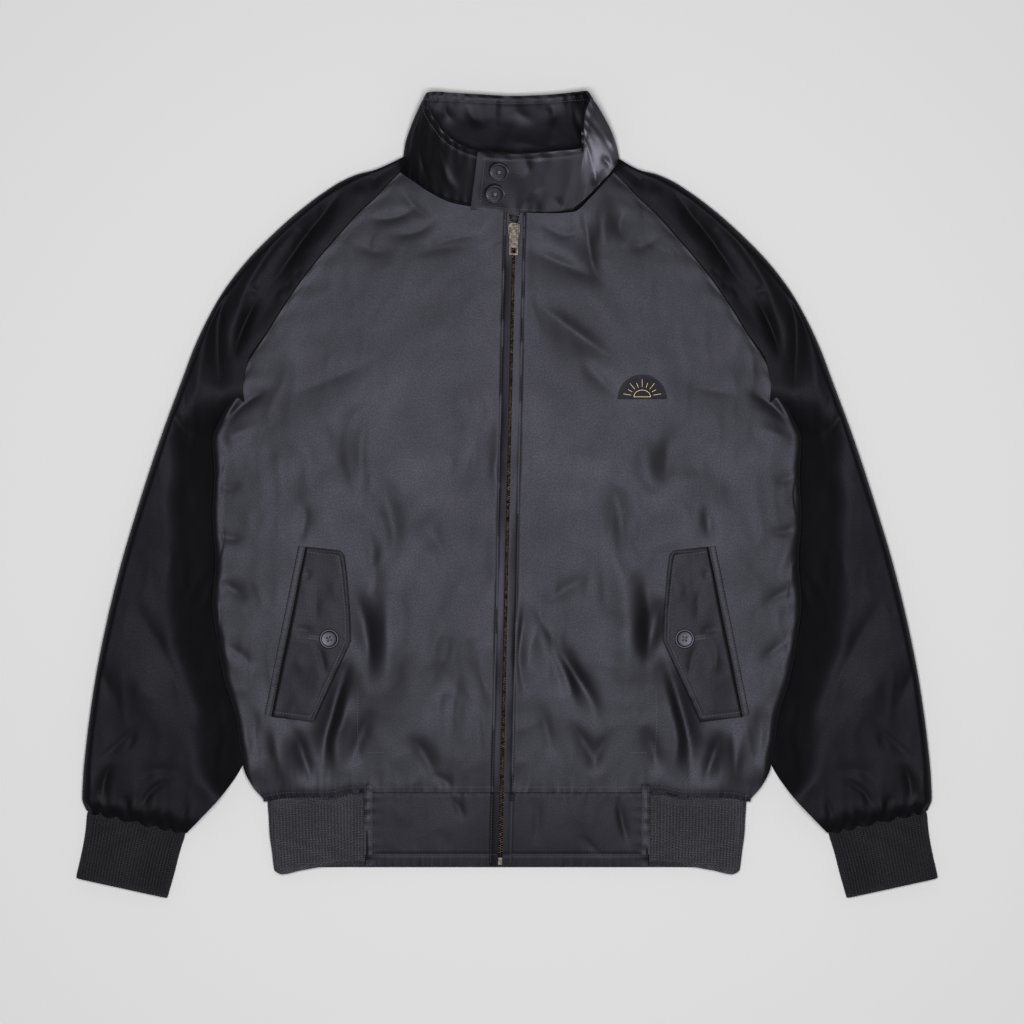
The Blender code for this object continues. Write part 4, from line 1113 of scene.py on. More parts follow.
def make_hem_tab(side, wearer, trees, material):
    """The narrow strip that covers the joint of the band and the knitted hem."""
    share, across = shares_grid(34, 9)
    x, y = between(*HEM_TAB_X, across), between(HEM_TAB_Y[1], HEM_TAB_Y[0], share)
    points = laid_grid(trees, np.stack([side * x, y], axis=-1), SHELL, reach=2.0, smooth=2)
    inside = np.minimum(x - HEM_TAB_X[0], HEM_TAB_X[1] - x)
    points[..., 2] += 0.5 * ease(inside / 2.5) + puckers(y, inside, "tab", side)
    lies_on = [f"hem_band_{wearer}_cloth", "hem_rib_knit"]
    return cut_piece(f"hem_tab_{wearer}", "cloth", points, SHELL, material, lies_on)


# --- Pockets and patch --------------------------------------------------------------------------


def outline_distance(x, y, outline):
    """The distance from places in plan to the nearest side of an open outline."""
    nearest = np.full(x.shape, np.inf)
    for (ax, ay), (bx, by) in zip(outline, outline[1:]):
        run_x, run_y = bx - ax, by - ay
        t = np.clip(((x - ax) * run_x + (y - ay) * run_y) / (run_x**2 + run_y**2), 0, 1)
        nearest = np.minimum(nearest, np.hypot(x - ax - t * run_x, y - ay - t * run_y))
    return nearest


def flap_outline():
    """The flap's free sides: along the top, down the inner side and along the bottom."""
    free = [(row[2], row[3]) for row in FLAP]
    return [FLAP[0][:2], *free, FLAP[-1][:2]]


def make_flap(side, wearer, tree, material):
    share, across = shares_grid(84, 38)
    sewn_x, sewn_y, free_x, free_y = straight_along(FLAP, share)
    x, y = between(sewn_x, free_x, across), between(sewn_y, free_y, across)
    points = laid_grid([tree], np.stack([side * x, y], axis=-1), SHELL, reach=5.0, smooth=10)
    inside = outline_distance(x, y, flap_outline())
    stitched = bell(inside - EDGE_STITCH, 1.1)
    relief = folds(x, y, FLAP_FOLDS) + rumple(x, y, "flap", side)
    relief = relief * ease(inside / 4) + 0.9 * ease(inside / 1.6) - 0.55 * stitched
    relief = relief + puckers(y, inside, "flap", side)
    sewn = ease(across / 0.045)
    points[..., 2] += 1.2 * sewn - 1.0 + 3.9 * across + np.maximum(relief + 0.6, 0) * sewn
    lies_on = [f"front_{wearer}_cloth"]
    return cut_piece(f"pocket_flap_{wearer}", "cloth", points, SHELL, material, lies_on)


def make_welt(side, wearer, tree, material):
    share, across = shares_grid(70, 8)
    outer_x, outer_y, inner_x, inner_y = straight_along(WELT, share)
    x, y = between(outer_x, inner_x, across), between(outer_y, inner_y, across)
    points = laid_grid([tree], np.stack([side * x, y], axis=-1), TAPE, reach=2.0, smooth=3)
    edge = np.minimum(across, 1 - across) * WELT_WIDTH
    points[..., 2] += 0.6 * ease(edge / 1.5) + puckers(y, 0 * y, "welt", side)
    lies_on = [f"front_{wearer}_cloth"]
    return cut_piece(f"pocket_welt_{wearer}", "cloth", points, TAPE, material, lies_on)


def patch_circle():
    """The middle of the half-moon's straight edge, and its radius."""
    low, high = (Vector(corner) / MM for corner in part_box("chest_patch"))
    return (low.x + high.x) / 2, low.y, (high.x - low.x) / 2


def make_patch(tree, material):
    """A plain half-moon on the wearer's left chest."""
    centre_x, base_y, radius = patch_circle()
    share, across = shares_grid(22, 41)
    angle, across = share * PATCH_ARC, 2 * across - 1
    x, y = centre_x + radius * np.cos(angle) * across, base_y + radius * np.sin(angle)
    points = laid_grid([tree], np.stack([x, y], axis=-1), PATCH, reach=3.0, smooth=12)
    points[..., 2] += 0.5
    lies_on = ["front_left_cloth"]
    return cut_piece("chest_patch", "leather", points, PATCH, material, lies_on, slot="patch")


# --- Collar -------------------------------------------------------------------------------------


def collar_point(place, up):
    """Places on the collar's outer face: some way round its sections and up from its seam."""
    seam_x, seam_y, seam_z, top_x, top_y, top_z, out = along(COLLAR_SECTIONS, place)
    away_x, away_y = seam_x, seam_y - COLLAR_MIDDLE_Y
    length = np.hypot(away_x, away_y)
    bow = out * np.sin(np.pi * np.clip(up, 0, 1))
    x = between(seam_x, top_x, up) + bow * away_x / length
    y = between(seam_y, top_y, up) + bow * away_y / length
    return np.stack([x, y, np.maximum(between(seam_z, top_z, up), 0.2)], axis=-1)


def grid_normals(points):
    """The way that a grid of points looks at each of them."""
    normals = np.cross(np.gradient(points, axis=1), np.gradient(points, axis=0))
    return normals / np.linalg.norm(normals, axis=-1, keepdims=True)


def collar_surface(rows=40, columns=300):
    """The collar's outer face with its folds, and the way that it looks at each point."""
    place, up = np.meshgrid(np.linspace(0, 1, columns), np.linspace(-COLLAR_SUNK, 1, rows))
    points = collar_point(place, up)
    normals = grid_normals(points)
    outwards = points - points.mean(axis=1, keepdims=True)
    normals = normals * np.sign((normals * outwards).sum())
    section = place * (len(COLLAR_SECTIONS) - 1)
    round_mm, up_mm = section * COLLAR_STEP, up * COLLAR_RISE
    lines = []
    for line, left, right, depth in COLLAR_FOLDS:
        lines.append(([(s * COLLAR_STEP, u * COLLAR_RISE) for s, u in line], left, right, depth))
    relief = folds(round_mm, up_mm, lines) + rumple(round_mm, up_mm, "collar")
    from_top = (1 - up) * COLLAR_RISE
    relief = relief + puckers(round_mm, from_top, "collar_edge")
    relief = relief + puckers(round_mm, up_mm, "collar_seam")
    relief = relief - 0.6 * bell(from_top - EDGE_STITCH - 0.5, 1.4)
    tab_edge = (1 - place) * COLLAR_ROUND
    relief = relief * ease(from_top / 2) - 0.6 * bell(tab_edge - EDGE_STITCH, 1.3)
    keep = ease(tab_edge / 10) * ease((up + COLLAR_SUNK) / 0.1)
    points = points + normals * (relief * keep)[..., None]
    points[..., 2] = np.maximum(points[..., 2], 0.2)
    return points, normals


def make_collar(material):
    points, _ = collar_surface()
    lies_on = ["front_left_cloth", "front_right_cloth"]
    return cut_piece("collar", "cloth", points, COLLAR, material, lies_on, held="folded", facing="out")


# --- Zip ----------------------------------------------------------------------------------------


def zip_level(y):
    """The height of the zip's tapes, a little below the cloth beside them."""
    y = np.asarray(y, float)
    beside = 8.0 + 0 * y
    on_front = front_height(1, zip_x(y) + beside, y, folded=False)
    on_band = band_height(1, zip_x(y) + beside, y, folded=False)
    return np.where(y < HEM_SEAM_Y, on_band, on_front) - ZIP_SUNK


def zip_parting(y):
    """How far each row of teeth stands off the zip's middle above the slider."""
    return (OPEN_HALF - ZIP_SHOWS[1]) * ease((y - OPEN_FROM_Y) / (NECK_POINT_Y - OPEN_FROM_Y))


def make_tape(side, wearer, material):
    y = np.linspace(HEM_EDGE_Y + 1.5, ZIP_END_Y, 160)[:, None]
    share = np.linspace(0, 1, 5)[None, :]
    x = zip_x(y) + side * (zip_parting(y) + between(0.7, 12.0, share))
    level = zip_level(y) - 0.9 - 1.2 * share
    points = np.stack([x, y + 0 * share, level], axis=-1)
    lies_on = [f"front_{wearer}_cloth", f"hem_band_{wearer}_cloth"]
    return cut_piece(f"zip_tape_{wearer}", "cloth", points, TAPE, material, lies_on, slot="tape")


def copies(name, source, places, material):
    """One mesh of many copies of a small piece, each turned and put in place by a matrix."""
    base = np.array([vertex.co for vertex in source.data.vertices])
    faces = [tuple(face.vertices) for face in source.data.polygons]
    points, polygons = [], []
    for n, matrix in enumerate(places):
        turn = np.array(matrix)
        points.append(base @ turn[:3, :3].T + turn[:3, 3])
        polygons += [tuple(index + n * len(base) for index in face) for face in faces]
    mesh = bpy.data.meshes.new(name)
    mesh.from_pydata(np.concatenate(points).tolist(), [], polygons)
    mesh.materials.append(material)
    mesh.shade_smooth()
    mesh.set_sharp_from_angle(angle=math.radians(40))
    obj = bpy.data.objects.new(name, mesh)
    bpy.context.scene.collection.objects.link(obj)
    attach(obj, "jacket")
    return obj


def select_where(obj, chosen, kind="FACE"):
    """In edit mode, selects only the faces or edges of obj that a test picks."""
    bpy.ops.mesh.select_mode(type=kind)
    bpy.ops.mesh.select_all(action="DESELECT")
    shape = bmesh.from_edit_mesh(obj.data)
    for part in shape.faces if kind == "FACE" else shape.edges:
        part.select_set(bool(chosen(part)))
    shape.select_flush_mode()
    bmesh.update_edit_mesh(obj.data)


def started(name, obj):
    """Names a new primitive and puts its place into its mesh."""
    obj.name = obj.data.name = name
    show_only_selected(obj)
    bpy.ops.object.transform_apply(location=True, rotation=True, scale=True)
    return obj


def model_tooth():
    """A brass tooth, lying along X with its head at the middle of the zip."""
    bpy.ops.object.select_all(action="DESELECT")
    bpy.ops.mesh.primitive_cube_add(size=1, location=(-0.55 * MM, 0, 0))
    tooth = bpy.context.object
    tooth.scale = Vector(TOOTH_SIZE) * MM
    tooth = started("tooth", tooth)
    bpy.ops.object.mode_set(mode="EDIT")
    select_where(tooth, lambda face: face.normal.x > 0.9)
    bpy.ops.transform.resize(value=(1, 0.7, 0.6))
    select_where(tooth, lambda edge: abs(edge.calc_face_angle(0)) > 0.5, "EDGE")
    bpy.ops.mesh.bevel(offset=0.28 * MM, segments=1, affect="EDGES")
    bpy.ops.object.mode_set(mode="OBJECT")
    return tooth


def make_teeth(material):
    tooth = model_tooth()
    lean = math.atan2(ZIP_TOP[0] - ZIP_BOTTOM[0], ZIP_TOP[1] - ZIP_BOTTOM[1])
    places = []
    for side in (-1, 1):
        start = HEM_EDGE_Y + 13.5 + (TOOTH_PITCH / 2 if side > 0 else 0)
        for y in np.arange(start, ZIP_END_Y, TOOTH_PITCH):
            spot = Vector((zip_x(y) + side * (zip_parting(y) + 0.45), y, zip_level(y) - 0.2))
            turn = Matrix.Rotation(-lean + (math.pi if side > 0 else 0), 4, "Z")
            places.append(Matrix.Translation(spot * MM) @ turn)
    chain = copies("zip_teeth", tooth, places, material)
    bpy.data.objects.remove(tooth)
    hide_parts("zip_chain")


# --- Stitches -----------------------------------------------------------------------------------


def model_stitch(length, radius):
    """One stitch: a short length of thread lying along X, with its ends drawn in."""
    bpy.ops.object.select_all(action="DESELECT")
    bpy.ops.mesh.primitive_cylinder_add(
        vertices=6, radius=radius * MM, depth=0.55 * length * MM, rotation=(0, math.pi / 2, 0)
    )
    stitch = started("stitch", bpy.context.object)
    bpy.ops.object.mode_set(mode="EDIT")
    for way in (-1, 1):
        select_where(stitch, lambda face: way * face.normal.x > 0.9)
        move = (way * 0.225 * length * MM, 0, -0.3 * radius * MM)
        bpy.ops.mesh.extrude_region_move(TRANSFORM_OT_translate={"value": move})
        bpy.ops.transform.resize(value=(1, 0.35, 0.35))
    bpy.ops.object.mode_set(mode="OBJECT")
    return stitch


def stitch_places(line, trees, pitch=STITCH_PITCH):
    """Matrices for stitches along a line in plan, laid on whatever piece is on top."""
    line = np.array(line, float)
    keys = lengths_along(line)
    count = max(int(keys[-1] / pitch), 1)
    places = []
    for n in range(count):
        at = (n + 0.5) / count * keys[-1]
        ends = []
        for step in (-1.0, 0.0, 1.0):
            x = float(np.interp(at + step, keys, line[:, 0]))
            y = float(np.interp(at + step, keys, line[:, 1]))
            ends.append((x, y))
        found = [top_of(trees, x, y) for x, y in ends]
        if None in found:
            continue
        (before, _), (spot, normal), (after, _) = found
        direction = after - before
        if normal.z < 0.1 or direction.length < 1e-5 or abs(direction.z) > 2.4 * MM:
            continue
        places.append(stitch_matrix(spot - normal * STITCH_SUNK * MM, direction, normal))
    return places


def patch_stitch_places(tree):
    """A stitched edge round the half-moon, and a rising half sun inside it."""
    centre_x, base_y, radius = patch_circle()
    border, sun_rim = 0.925, 0.34  # shares of the patch's radius

    def spot(angle, share):
        return (
            centre_x + share * radius * math.cos(math.radians(angle)),
            base_y + 2.2 + (share * radius - 1.5) * math.sin(math.radians(angle)),
        )

    round_edge = [spot(angle, border) for angle in range(4, 177, 4)]
    round_sun = [spot(angle, sun_rim) for angle in range(0, 181, 10)]
    edge_lines = [round_edge, [spot(176, border), spot(4, border)]]
    sun_lines = [round_sun, [spot(180, sun_rim), spot(0, sun_rim)]]
    for n in range(9):
        angle = 10 + 20 * n
        ray_end = 0.78 if n % 2 == 0 else 0.66
        sun_lines.append([spot(angle, 0.46), spot(angle, ray_end)])
    edge, sun = [], []
    for line in edge_lines:
        edge += stitch_places(line, [tree], PATCH_STITCH_PITCH)
    for line in sun_lines:
        sun += stitch_places(line, [tree], SUN_STITCH_PITCH)
    return edge, sun


def buttonhole_places(start, end, trees):
    """Close bars of thread down both lips of a buttonhole."""
    start, end = Vector(start), Vector(end)
    beside = (end - start).normalized().orthogonal()
    places = []
    count = int((end - start).length / 0.8)
    for n in range(count + 1):
        spot = start.lerp(end, n / count)
        for way in (-1, 1):
            near, far = spot + 0.3 * way * beside, spot + 2.3 * way * beside
            places += stitch_places([near, far], trees, 2.0)
    return places


def sew(name, places, material, length, radius):
    """A piece made of stitches of one size."""
    stitch = model_stitch(length, radius)
    sewn = copies(name, stitch, places, material)
    bpy.data.objects.remove(stitch)


def stitch_matrix(spot, direction, normal):
    """Puts a stitch at a spot, along a direction and flat on the cloth there."""
    direction = (direction - direction.project(normal)).normalized()
    beside = normal.cross(direction).normalized()
    turn = Matrix((direction, beside, normal)).transposed().to_4x4()
    return Matrix.Translation(spot) @ turn


def offset_line(points, distance):
    """A line beside another, this far to its left."""
    line = np.array(points, float)
    run = np.gradient(line, axis=0)
    run /= np.linalg.norm(run, axis=1, keepdims=True)
    return line + distance * np.stack([-run[:, 1], run[:, 0]], axis=-1)


def panel_stitch_lines(side):
    """The rows of stitches on one side of the jacket, in plan."""
    ys = np.linspace(HEM_EDGE_Y + 3, 276, 120)
    lines = [np.stack([zip_x(ys) + side * PLACKET[side], ys], axis=-1)]
    seam = smooth_line([(side * x, y) for y, x, _ in RAGLAN])
    lines.append(offset_line(seam, side * 1.9))
    xs = np.linspace(13, 243, 90)
    lines.append(np.stack([side * xs, HEM_SEAM_Y + 5.5 + hem_seam_shift(xs)], axis=-1))
    xs = np.linspace(4, 132, 40)
    lines.append(np.stack([side * xs, HEM_STITCH_Y + 0 * xs], axis=-1))
    for x in (HEM_TAB_X[0] + 1.4, HEM_TAB_X[1] - 1.4):
        lines.append([(side * x, HEM_TAB_Y[1] + 2), (side * x, HEM_TAB_Y[0] - 2)])
    lines.append([(side * (row[0] - 1.0), row[1] - 0.5) for row in WELT])
    lines.append([(side * (row[2] + 0.9), row[3] - 0.5) for row in WELT])
    lines.append([(side * 148.5, -190), (side * 149, -232), (side * 147.5, -276)])
    lines.append([(side * 122, -256), (side * 140, -256)])
    return lines


def flap_stitch_line(side):
    """The line of stitches inside a flap's free sides."""
    d = EDGE_STITCH
    points = [
        (FLAP[0][0] - 1.0, FLAP[0][1] - d),
        (FLAP[0][2] + 1.5, FLAP[0][3] - d),
        (FLAP[1][2] + d, FLAP[1][3] - 2.5),
        (FLAP[2][2] + d, FLAP[2][3]),
        (FLAP[3][2] + d, FLAP[3][3]),
        (FLAP[4][2] + d, FLAP[4][3] + 1.0),
        (FLAP[5][2] + d - 0.5, FLAP[5][3] + 2.0),
        (FLAP[6][2] + 3.0, FLAP[6][3] + d + 0.5),
        (212.0, -222.5 + d),
        (FLAP[6][0] - 1.5, FLAP[6][1] + d),
    ]
    return [(side * x, y) for x, y in points]


def collar_stitch_places():
    """Stitches round the collar, below its top edge on both faces and round the tab's end."""
    points, normals = collar_surface()
    rows, columns = points.shape[:2]
    places = []

    def lay(path, face):
        path = np.array(path)
        spots = np.array([points[i, j] for i, j in path])
        ways = np.array([normals[i, j] for i, j in path])
        keys = lengths_along(spots)

        def at_length(table, length):
            return Vector([np.interp(length, keys, column) for column in table.T])

        count = int(keys[-1] / STITCH_PITCH)
        for n in range(count):
            at = (n + 0.5) / count * keys[-1]
            run = at_length(spots, at + 1) - at_length(spots, at - 1)
            normal = at_length(ways, at).normalized()
            sunk = at_length(spots, at) - normal * (STITCH_SUNK if face > 0 else COLLAR - STITCH_SUNK)
            places.append(stitch_matrix(sunk * MM, run, normal * face))

    top_row, low_row = round(0.9 * (rows - 1)), round(0.1 * (rows - 1))
    tab_column = columns - 1 - round(EDGE_STITCH / COLLAR_ROUND * columns) - 1
    for face in (1, -1):
        lay([(top_row, j) for j in range(6, tab_column)], face)
    lay([(low_row, j) for j in range(round(0.72 * columns), tab_column)], 1)
    lay([(i, tab_column) for i in range(low_row, top_row + 1)], 1)
    return places


# --- Buttons ------------------------------------------------------------------------------------

BUTTON_RADIUS = 9.7
BUTTON_THICK = 2.6
HOLE_SPREAD = 2.3  # from a button's middle to each of its holes
BUTTON_SPOTS = (
    # node, x, y, radius that it sits on
    ("collar_button_upper", -8.0, 321.5, 9.4),
    ("collar_button_lower", -12.0, 300.5, 9.4),
    ("pocket_button_right", -176.5, -142.0, 9.7),
    ("pocket_button_left", 176.5, -142.0, 9.7),
)


def model_button():
    """A four-hole button with a raised rim and a dished middle, standing on Z = 0."""
    bpy.ops.object.select_all(action="DESELECT")
    bpy.ops.mesh.primitive_cylinder_add(
        vertices=48, radius=BUTTON_RADIUS * MM, depth=BUTTON_THICK * MM,
        location=(0, 0, BUTTON_THICK / 2 * MM),
    )
    button = started("button", bpy.context.object)
    bpy.ops.object.mode_set(mode="EDIT")
    select_where(button, lambda face: face.normal.z > 0.9)
    bpy.ops.mesh.inset(thickness=0.5 * MM, depth=0.35 * MM)
    bpy.ops.mesh.inset(thickness=1.3 * MM)
    bpy.ops.mesh.inset(thickness=0.5 * MM, depth=-0.75 * MM)
    bpy.ops.mesh.inset(thickness=1.2 * MM, depth=-0.15 * MM)
    select_where(button, lambda face: face.normal.z < -0.9)
    bpy.ops.mesh.inset(thickness=0.8 * MM, depth=0.5 * MM)
    select_where(button, lambda edge: edge.calc_face_angle(0) > 0.35, "EDGE")
    bpy.ops.mesh.bevel(offset=0.16 * MM, segments=2, affect="EDGES")
    bpy.ops.object.mode_set(mode="OBJECT")
    for n in range(4):
        angle = math.radians(45 + 90 * n)
        bpy.ops.object.select_all(action="DESELECT")
        place = (HOLE_SPREAD * MM * math.cos(angle), HOLE_SPREAD * MM * math.sin(angle), 1.5 * MM)
        bpy.ops.mesh.primitive_cylinder_add(vertices=16, radius=0.95 * MM, depth=8 * MM, location=place)
        drill = bpy.context.object
        cut = button.modifiers.new("hole", "BOOLEAN")
        cut.operation = "DIFFERENCE"
        cut.solver = "EXACT"
        cut.object = drill
        apply_modifiers(button)
        bpy.data.objects.remove(drill)
    return button


def model_button_thread():
    """Two crossed bundles of thread between the holes of a button."""
    bundles = []
    for turn in (45, 135):
        for beside in (-0.35, 0.0, 0.35):
            bpy.ops.object.select_all(action="DESELECT")
            bpy.ops.mesh.primitive_torus_add(
                major_segments=24, minor_segments=6, major_radius=HOLE_SPREAD * MM,
                minor_radius=0.24 * MM, rotation=(math.pi / 2, 0, 0),
            )
            loop = started("thread", bpy.context.object)
            bpy.ops.object.mode_set(mode="EDIT")
            bpy.ops.mesh.select_all(action="SELECT")
            bpy.ops.transform.resize(value=(1, 1, 0.42))
            bpy.ops.transform.translate(value=(0, beside * MM, (1.55 + 0.1 * (turn > 90)) * MM))
            bpy.ops.object.mode_set(mode="OBJECT")
            loop.rotation_euler.z = math.radians(turn)
            bundles.append(started("thread", loop))
    bpy.ops.object.select_all(action="DESELECT")
    for loop in bundles:
        loop.select_set(True)
    bpy.context.view_layer.objects.active = bundles[0]
    bpy.ops.object.join()
    bundles[0].data.shade_smooth()
    return bundles[0]


def seat(trees, x, y, radius):
    """Where a round piece sits: the point under its middle, and a matrix that stands it there."""
    spots = {}
    for n in range(12):
        angle = math.tau * n / 12
        for part in (0.5, 1.0):
            step = Vector((part * radius * math.cos(angle), part * radius * math.sin(angle)))
            hit = top_of(trees, x + step.x, y + step.y)
            spots[(round(step.x, 3), round(step.y, 3))] = hit[0].z / MM
    places = np.array([(a, b, 1.0) for a, b in spots])
    slope_x, slope_y, middle = np.linalg.lstsq(places, np.array(list(spots.values())), rcond=None)[0]
    over = max(z - slope_x * a - slope_y * b - middle for (a, b), z in spots.items())
    normal = Vector((-slope_x, -slope_y, 1)).normalized()
    turn = normal.to_track_quat("Z", "Y").to_matrix().to_4x4()
    return Matrix.Translation(Vector((x, y, middle + over + 0.1)) * MM) @ turn


def put_copy(name, source, matrix, material):
    """A copy of a modelled piece with its own mesh, moved by a matrix."""
    mesh = source.data.copy()
    mesh.name = name
    mesh.transform(matrix)
    mesh.materials.clear()
    mesh.materials.append(material)
    obj = bpy.data.objects.new(name, mesh)
    bpy.context.scene.collection.objects.link(obj)
    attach(obj, "jacket")
    return obj


def make_buttons(trees, horn, thread):
    """Every button with its thread. Returns the pieces of the collar's two."""
    button, cross = model_button(), model_button_thread()
    button.data.shade_smooth()
    button.data.set_sharp_from_angle(angle=math.radians(35))
    made = []
    for n, (node, x, y, radius) in enumerate(BUTTON_SPOTS):
        matrix = seat(trees, x, y, radius) @ Matrix.Rotation(math.radians(7 * n - 8), 4, "Z")
        piece = put_copy(f"{node}_horn", button, matrix, horn)
        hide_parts(node)
        sewn = put_copy(f"{node}_thread", cross, matrix, thread)
        made += [piece, sewn]
    bpy.data.objects.remove(button)
    bpy.data.objects.remove(cross)
    on_collar = made[:4]
    return on_collar


# --- Materials ----------------------------------------------------------------------------------


COOL_GLOSS = (0.87, 0.86, 1.0, 1)
KNIT_GLOSS = (0.86, 0.85, 1.0, 1)
SHEEN_TINT = (0.5, 0.5, 0.58, 1)
POPLIN = ((0.0040, 0.0039, 0.0050), (0.0054, 0.0053, 0.0066))
PRESSED_POPLIN = ((0.0032, 0.0031, 0.0041), (0.0045, 0.0044, 0.0056))
TAPE_CLOTH = ((0.004, 0.004, 0.0045), (0.007, 0.007, 0.008))
CLOTHS = (
    # name in look, material, dark and light, smooth, rough, gloss, height of the weave in millimetres
    ("shell", "black_poplin", POPLIN, 0.56, 0.68, 0.74, 0.035),
    # the band and the flaps are the shell's cloth, given less gloss so that they look darker
    ("trim", "trim_poplin", POPLIN, 0.56, 0.68, 0.52, 0.035),
    # the sleeves are the shell's cloth: their lower gloss is painted shade, dimming them where they lie
    # beside the body
    ("sleeve", "shaded_sleeve_poplin", POPLIN, 0.56, 0.68, 0.28, 0.035),
    ("collar", "pressed_poplin", PRESSED_POPLIN, 0.46, 0.52, 0.46, 0.035),
    ("tape", "zip_tape_cloth", TAPE_CLOTH, 0.7, 0.8, 0.1, 0.10),
)
KNITS = (
    # name in look, material, dark and light
    ("rib", "cuff_knit", ((0.018, 0.018, 0.020), (0.040, 0.040, 0.044))),
    # the hem is the cuffs' knit: its lighter colours are painted light, brightening the hem that lies flat
    # under the lamp
    ("hem_rib", "lit_hem_knit", ((0.044, 0.044, 0.049), (0.094, 0.094, 0.102))),
)
THREADS = (
    # name in look, material, colour, roughness, gloss
    # the seams' thread is black: its grey colour is a painted highlight, the glint along the stitches
    ("thread", "black_thread_painted_glint", (0.085, 0.085, 0.092, 1), 0.5, 0.35),
    ("pale_thread", "grey_thread", (0.05, 0.05, 0.05, 1), 0.55, 0.3),
    ("gold_thread", "gold_thread", (0.80, 0.62, 0.34, 1), 0.45, 0.5),
)
METALS = (
    # name in look, material, clean, dull, roughness where it is clean
    ("brass", "antique_brass", (0.17, 0.135, 0.095, 1), (0.012, 0.010, 0.008, 1), 0.40),
    ("pull", "dark_brass", (0.048, 0.044, 0.039, 1), (0.030, 0.028, 0.025, 1), 0.40),
)
BUTTON_RESIN = ((0.011, 0.011, 0.0125), (0.017, 0.017, 0.0195))
PATCH_LEATHER = ((0.003, 0.003, 0.004), (0.006, 0.006, 0.008))
KNIT_HEIGHT = 0.9
GRAIN_HEIGHT = 0.12


def node_group(name, inputs, outputs):
    """A shader node group, with its input and output nodes.

    A number among the inputs makes a value socket, four numbers a colour and None a vector.
    """
    group = bpy.data.node_groups.new(name, "ShaderNodeTree")
    for label, value in inputs.items():
        kind = "Vector" if value is None else "Color" if isinstance(value, tuple) else "Float"
        socket = group.interface.new_socket(label, in_out="INPUT", socket_type=f"NodeSocket{kind}")
        if value is not None:
            socket.default_value = value
    for label, kind in outputs.items():
        group.interface.new_socket(label, in_out="OUTPUT", socket_type=f"NodeSocket{kind}")
    return group, group.nodes.new("NodeGroupInput").outputs, group.nodes.new("NodeGroupOutput").inputs


def add_node(tree, kind, values=None, **settings):
    """Adds a node and sets its inputs, each to a value or from another node's socket."""
    node = tree.nodes.new(f"ShaderNode{kind}")
    for key, value in settings.items():
        setattr(node, key, value)
    for key, value in (values or {}).items():
        if isinstance(value, bpy.types.NodeSocket):
            tree.links.new(value, node.inputs[key])
        else:
            node.inputs[key].default_value = value
    return node


def maths(tree, operation, a, b=0.0, c=0.0):
    return add_node(tree, "Math", {0: a, 1: b, 2: c}, operation=operation).outputs[0]


def noise(tree, place, scale, detail):
    return add_node(tree, "TexNoise", {"Vector": place, "Scale": scale, "Detail": detail}).outputs[0]


def spread_out(tree, value, low, high):
    """Stretches a value that stays between low and high, so that it goes from 0 to 1."""
    return add_node(tree, "MapRange", {"Value": value, "From Min": low, "From Max": high}).outputs[0]


def mixed_colour(tree, share, first, second):
    return add_node(tree, "Mix", {0: share, 6: first, 7: second}, data_type="RGBA").outputs[2]


def make_weave_group():
    """Crossing threads: the height of a fine plain weave, with a slub here and there."""
    group, given, result = node_group("weave", {"Vector": None, "Threads": 1400.0}, {"Height": "Float"})
    split = add_node(group, "SeparateXYZ", {0: given["Vector"]})
    waves = []
    for axis in (0, 1):
        turns = maths(group, "MULTIPLY", split.outputs[axis], given["Threads"])
        waves.append(maths(group, "SINE", maths(group, "MULTIPLY", turns, math.tau / 2)))
    weave = maths(group, "MULTIPLY", *waves)
    slub = noise(group, given["Vector"], 420.0, 3.0)
    height = maths(group, "MULTIPLY_ADD", slub, 1.6, maths(group, "MULTIPLY", weave, 0.5))
    group.links.new(height, result["Height"])
    return group


def make_tone_group():
    """Cloth that is a little lighter and smoother here and there."""
    inputs = {
        "Vector": None,
        "Dark": (0.006, 0.006, 0.007, 1),
        "Light": (0.012, 0.012, 0.014, 1),
        "Smooth": 0.4,
        "Rough": 0.5,
    }
    group, given, result = node_group("cloth_tone", inputs, {"Color": "Color", "Roughness": "Float"})
    wide = noise(group, given["Vector"], 14.0, 4.0)
    fine = noise(group, given["Vector"], 620.0, 3.0)
    both = maths(group, "MULTIPLY_ADD", fine, 0.55, maths(group, "MULTIPLY", wide, 0.45))
    share = spread_out(group, both, 0.32, 0.68)
    group.links.new(mixed_colour(group, share, given["Dark"], given["Light"]), result["Color"])
    rough = add_node(group, "Mix", {0: share, 2: given["Smooth"], 3: given["Rough"]}).outputs[0]
    group.links.new(rough, result["Roughness"])
    return group


def make_knit_group():
    """Rows of knitted loops across the ribs."""
    inputs = {"Vector": None, "Rib": RIB_PITCH * MM, "Row": 2.2 * MM}
    group, given, result = node_group("knit", inputs, {"Height": "Float"})
    split = add_node(group, "SeparateXYZ", {0: given["Vector"]})
    slant = maths(group, "PINGPONG", maths(group, "DIVIDE", split.outputs[0], given["Rib"]), 0.5)
    row = maths(group, "DIVIDE", split.outputs[1], given["Row"])
    phase = maths(group, "MULTIPLY", maths(group, "ADD", row, slant), math.tau)
    loops = maths(group, "MULTIPLY_ADD", maths(group, "SINE", phase), 0.5, 0.5)
    fuzz = noise(group, given["Vector"], 900.0, 2.0)
    group.links.new(maths(group, "MULTIPLY_ADD", fuzz, 0.5, loops), result["Height"])
    return group


def make_tarnish_group():
    """Blotches of tarnish, from clean to dull."""
    inputs = {"Vector": None, "Clean": (0.4, 0.3, 0.2, 1), "Dull": (0.1, 0.08, 0.05, 1), "Rough": 0.4}
    group, given, result = node_group("tarnish", inputs, {"Color": "Color", "Roughness": "Float"})
    share = spread_out(group, noise(group, given["Vector"], 380.0, 5.0), 0.35, 0.65)
    group.links.new(mixed_colour(group, share, given["Clean"], given["Dull"]), result["Color"])
    group.links.new(maths(group, "MULTIPLY_ADD", share, 0.06, given["Rough"]), result["Roughness"])
    return group


